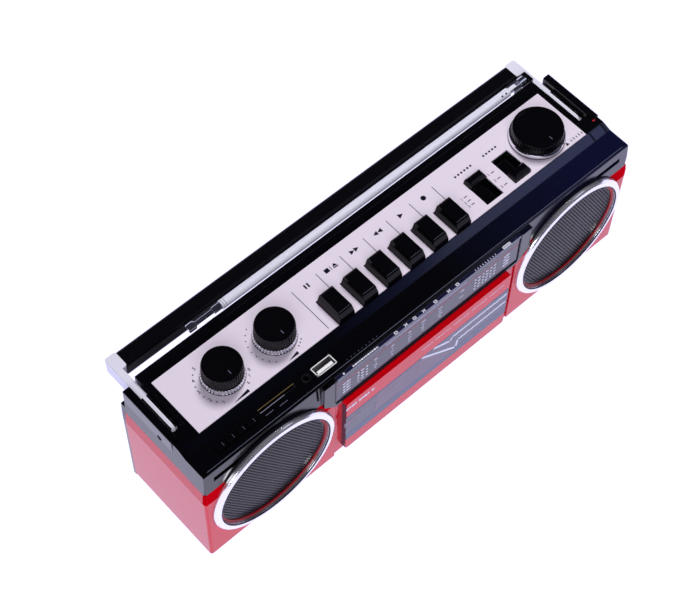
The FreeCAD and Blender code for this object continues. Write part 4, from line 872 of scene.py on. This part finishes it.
def dress_deck():
    """Rims and marks of the sockets, a painted highlight on each button, ribs beside the handle's slots, and
    the lamp.
    """
    dress_usb()
    low, high = box_mm("aux_jack")
    centre = ((low.x + high.x) / 2, (low.y + high.y) / 2, high.z)
    lathe("aux_ring", [(1.78, -1.0), (1.8, 0.15), (2.0, 0.25), (2.5, 0.2), (2.7, 0.02)], centre, "z", DARK,
          "case", 48)
    low, high = box_mm("card_socket")
    gold = Print("top", high.z - 0.02, 0.06)
    gold.bar(low.x + 0.4, high.y - 0.5, high.x - 0.4, high.y - 0.9, 0.3)
    gold.make("card_gold_edge", BRASS, "case", "steel")
    line = Print("top", high.z - 0.02, 0.06)
    line.bar(low.x + 0.4, low.y + 0.5, low.x + 18.5, low.y + 0.5, 0.26)
    line.make("card_pale_edge", SOFT_INK, "case", "steel")
    # Painted highlight: a short grey line along each button's side edge.
    for name in BUTTONS:
        low, high = box_mm(name)
        mark = Print("top", high.z, 0.04)
        mark.bar(high.x - 1.2, high.y - 3.4, high.x - 1.2, high.y - 0.9, 0.22)
        mark.make(name + "_mark", GREY_INK, name, "black_plastic")
    ink = Print("top", BROW_TOP, 0.03)
    ink.dashes(from_left(110), from_left(135), from_face(3.0), 0.4, (0.5, -1.6, 0.7, -1.2))
    ink.dashes(from_left(51.5), from_left(57), from_face(6.6), 0.5, (1.2, 0.9))
    ink.dashes(from_left(61.5), from_left(67), from_face(6.0), 0.5, (1.0, 1.3))
    ink.make("brow_marks", GREY_INK)
    rib_inset = 11.6
    for side, word in SIDES:
        edge = HALF - rib_inset
        x0, x1 = sorted((side * edge, side * (edge - 1.4)))
        block("slot_rib_" + word, (x0, from_face(31), DECK_TOP - 0.2),
              (x1, from_face(68), DECK_TOP + 0.5), SIDE_BLACK, "case", 0.3)
    lathe("power_lamp", [(1.1, -0.1), (1.05, 0.2), (0.7, 0.4), (0, 0.45)],
          (from_left(341.2), from_face(26.9), DECK_TOP), "z", RED_INK, "case", 32)


def dress_slope():
    """The glossy strip between the front brow and the deck, with the end block at its right, both in a
    lighter blue that is a painted reflection, and a grey painted highlight along the brow's front edge.
    """
    y0 = SLOPE_FRONT
    y1 = SLOPE_BACK
    rise = DECK_TOP - BROW_TOP

    def strip(name, left, right, start, stop, mat):
        z0 = BROW_TOP + rise * (start - y0) / (y1 - y0)
        z1 = BROW_TOP + rise * (stop - y0) / (y1 - y0)
        verts = []
        for x in (from_left(left), from_left(right)):
            verts += [(x, start, z0 - 0.1), (x, stop, z1 - 0.1), (x, stop, z1 + 0.05), (x, start, z0 + 0.05)]
        faces = [(0, 1, 2, 3), (7, 6, 5, 4), (0, 3, 7, 4), (1, 5, 6, 2), (3, 2, 6, 7), (0, 4, 5, 1)]
        piece(name, verts, faces, mat, "case")

    strip("slope_strip", 3.5, 331.0, y0 + 0.3, y1 - 0.4, SLOPE)
    strip("slope_end_block", 332.5, 341.5, y0 + 0.3, y1 - 0.9, SLOPE)
    strip("slope_seam_a", 331.1, 332.4, y0 + 0.1, y1 - 0.1, INK)
    strip("slope_seam_b", 341.6, 343.2, y0 + 0.1, y1 - 0.1, INK)
    # Painted highlight: a thin grey line along the brow's front edge.
    crest = Print("top", BROW_TOP, 0.04)
    crest.bar(-HALF + 4, from_face(1.5), HALF - 4, from_face(1.5), 0.3)
    crest.make("brow_painted_highlight_line", GREY_INK)


def dress_handle():
    """Two ribs on the grip, and on each arm a pair of dark strips painted as the slot's shade along its top,
    and a screw.
    """
    top = grip_high.z
    for name, y in (("grip_rib_front", grip_low.y + 1.9), ("grip_rib_back", grip_high.y - 2.2)):
        block(name, (grip_low.x + 2, y - 0.25, top - 0.25), (grip_high.x - 2, y + 0.25, top + 0.12), RUBBER,
              "handle", 0.1)
    for side, word in SIDES:
        low, high = box_mm("handle_arm_" + word)
        # Painted shade: dark strips over the arm's top edges where it lies in its slot.
        for tag, near, far in (("in", HALF - 10.05, HALF - 8.9), ("out", HALF - 6.6, HALF - 5.55)):
            x0, x1 = sorted((side * near, side * far))
            block("arm_slot_painted_shade_" + word + "_" + tag, (x0, from_face(35.5), high.z - 0.5),
                  (x1, from_face(62), high.z + 0.04), SIDE_BLACK, "handle", 0.02)
        lathe("arm_screw_" + word, [(2.1, 0.1), (2.0, -0.35), (1.5, -0.6), (0, -0.65)],
              ((low.x + high.x) / 2, high.y - 5.5, low.z), "z", STEEL, "handle", 32)


def dress_antenna():
    """Rivets on the elbow end of the tube, and dark rings rolled into its open end."""
    low, high = box_mm("antenna_tube_outer")
    y = (low.y + high.y) / 2
    middle = (low.z + high.z) / 2
    for k, place in enumerate((309.5, 312.9)):
        lathe("antenna_rivet_" + str(k + 1), [(0.75, -0.15), (0.7, 0.05), (0.4, 0.14), (0, 0.16)],
              (from_left(place), y - 1.2, high.z - 0.28), "z", DARK, "antenna_elbow", 24)
    for place in (low.x + 1.0, low.x + 2.6):
        lathe("tube_ring_" + str(round(abs(place))), [(2.9, 0.0), (3.0, 0.1), (3.0, 0.4), (2.9, 0.5)],
              (place, y, middle), "x", DARK, "antenna_elbow", 64)


def dress_back():
    """Screws, cooling louvres and the battery latch on the back cover."""
    y = from_face(CASE_DEPTH)
    screw = [(3.0, 0.1), (2.9, -0.5), (2.2, -0.75), (0.6, -0.8), (0.5, -0.3), (0, -0.3)]
    for k, (x, z) in enumerate(((-160, 12), (160, 12), (-160, 80), (160, 80), (0, 70))):
        lathe("back_screw_" + str(k + 1), screw, (x, y, z), "y", STEEL, "case", 32)
    louvre_place = 118
    louvre_half = 22
    for side, word in SIDES:
        for k in range(9):
            x = side * louvre_place
            z = 40 + 4.2 * k
            block("louvre_" + word[0] + str(k + 1), (x - louvre_half, y - 0.3, z),
                  (x + louvre_half, y + 0.8, z + 1.6), SIDE_BLACK, "case", 0.4)
    cover_top = box_mm("battery_door")[1].z
    block("battery_latch", (-9, y - 0.2, cover_top - 4), (9, y + 0.9, cover_top - 1.2), SIDE_BLACK,
          "battery_door", 0.4)


dress_speakers()
dress_knobs()
dress_panel()
dress_key_highlights()
dress_dial()
dress_door()
dress_deck()
dress_slope()
dress_handle()
dress_antenna()
dress_back()


# --- floor, light and camera ----------------------------------------------------------------

FLOOR_HALF = 12.0
FLOOR_GLOW = (0.765, 0.75, 1.0, 1)
FLOOR_STRENGTH = 1.38
AZIMUTH = 44.144
ELEVATION = 58.887
ROLL = -2.22
CAMERA_PLACE = (-0.3953, -0.3858, 0.9649)
CAMERA_LENS = 87.57
CAMERA_SENSOR = 36.0


def make_floor():
    """A wide pale floor that glows evenly, which gives the soft reflections in the sides."""
    size = FLOOR_HALF
    mesh = bpy.data.meshes.new("floor")
    corners = [(-size, -size, 0), (size, -size, 0), (size, size, 0), (-size, size, 0)]
    mesh.from_pydata(corners, [], [(0, 1, 2, 3)])
    mat = bpy.data.materials.new("floor_white")
    mat.use_nodes = True
    shader = mat.node_tree.nodes[SHADER]
    shader.inputs["Base Color"].default_value = (0.01, 0.01, 0.01, 1)
    shader.inputs["Roughness"].default_value = 0.9
    shader.inputs["Specular IOR Level"].default_value = 0.0
    shader.inputs["Emission Color"].default_value = FLOOR_GLOW
    shader.inputs["Emission Strength"].default_value = FLOOR_STRENGTH
    mesh.materials.append(mat)
    item = bpy.data.objects.new("floor", mesh)
    bpy.context.scene.collection.objects.link(item)


def area_light(name, place, target, size, power, color=(1, 1, 1), shine=True, spread=True):
    """A soft panel; shine lets it show in reflections, spread lets it light matt surfaces."""
    data = bpy.data.lights.new(name, "AREA")
    data.shape = "RECTANGLE"
    data.size, data.size_y = size
    data.energy = power
    data.color = color
    item = bpy.data.objects.new(name, data)
    item.location = place
    way = Vector(target) - Vector(place)
    item.rotation_euler = way.to_track_quat("-Z", "Y").to_euler()
    item.visible_glossy = shine
    item.visible_diffuse = spread
    bpy.context.scene.collection.objects.link(item)


def make_lights():
    """Two soft lamps that stay out of reflections, two gleams seen only in them, and a dim world."""
    middle = (0, 0, 0.08)
    area_light("key", (0.58, 0.50, 1.5), middle, (0.5, 0.5), 22, (1.0, 0.98, 0.97), shine=False)
    area_light("fill", (-0.8, -0.95, 1.25), middle, (1.5, 1.0), 16, (1.0, 0.97, 1.0), shine=False)
    area_light("side_gleam", (0.75, -0.40, 1.15), middle, (0.7, 0.35), 0.6, (0.7, 0.75, 1.0), spread=False)
    area_light("left_gleam", (-1.2, -0.6, 0.45), middle, (0.6, 0.4), 5, (1.0, 0.98, 1.0), spread=False)
    world = bpy.data.worlds.new("studio")
    world.use_nodes = True
    background = world.node_tree.nodes["Background"]
    background.inputs["Color"].default_value = (0.5, 0.5, 0.75, 1)
    background.inputs["Strength"].default_value = 0.05
    bpy.context.scene.world = world
    bpy.context.scene.view_settings.view_transform = "Standard"


def make_camera():
    """The camera, looking down over the left front corner and turned slightly about its own axis."""
    azimuth = math.radians(AZIMUTH)
    elevation = math.radians(ELEVATION)
    roll = math.radians(ROLL)
    forward = Vector((math.sin(azimuth) * math.cos(elevation), math.cos(azimuth) * math.cos(elevation),
                      -math.sin(elevation)))
    right = forward.cross(Vector((0, 0, 1))).normalized()
    up = right.cross(forward)
    turned_up = up * math.cos(roll) + right * math.sin(roll)
    turned_right = forward.cross(turned_up)
    data = bpy.data.cameras.new("camera")
    data.lens = CAMERA_LENS
    data.sensor_width = CAMERA_SENSOR
    item = bpy.data.objects.new("camera", data)
    turn = Matrix((turned_right, turned_up, -forward)).transposed()
    item.matrix_world = Matrix.Translation(CAMERA_PLACE) @ turn.to_4x4()
    bpy.context.scene.collection.objects.link(item)
    bpy.context.scene.camera = item


make_floor()
make_lights()
make_camera()
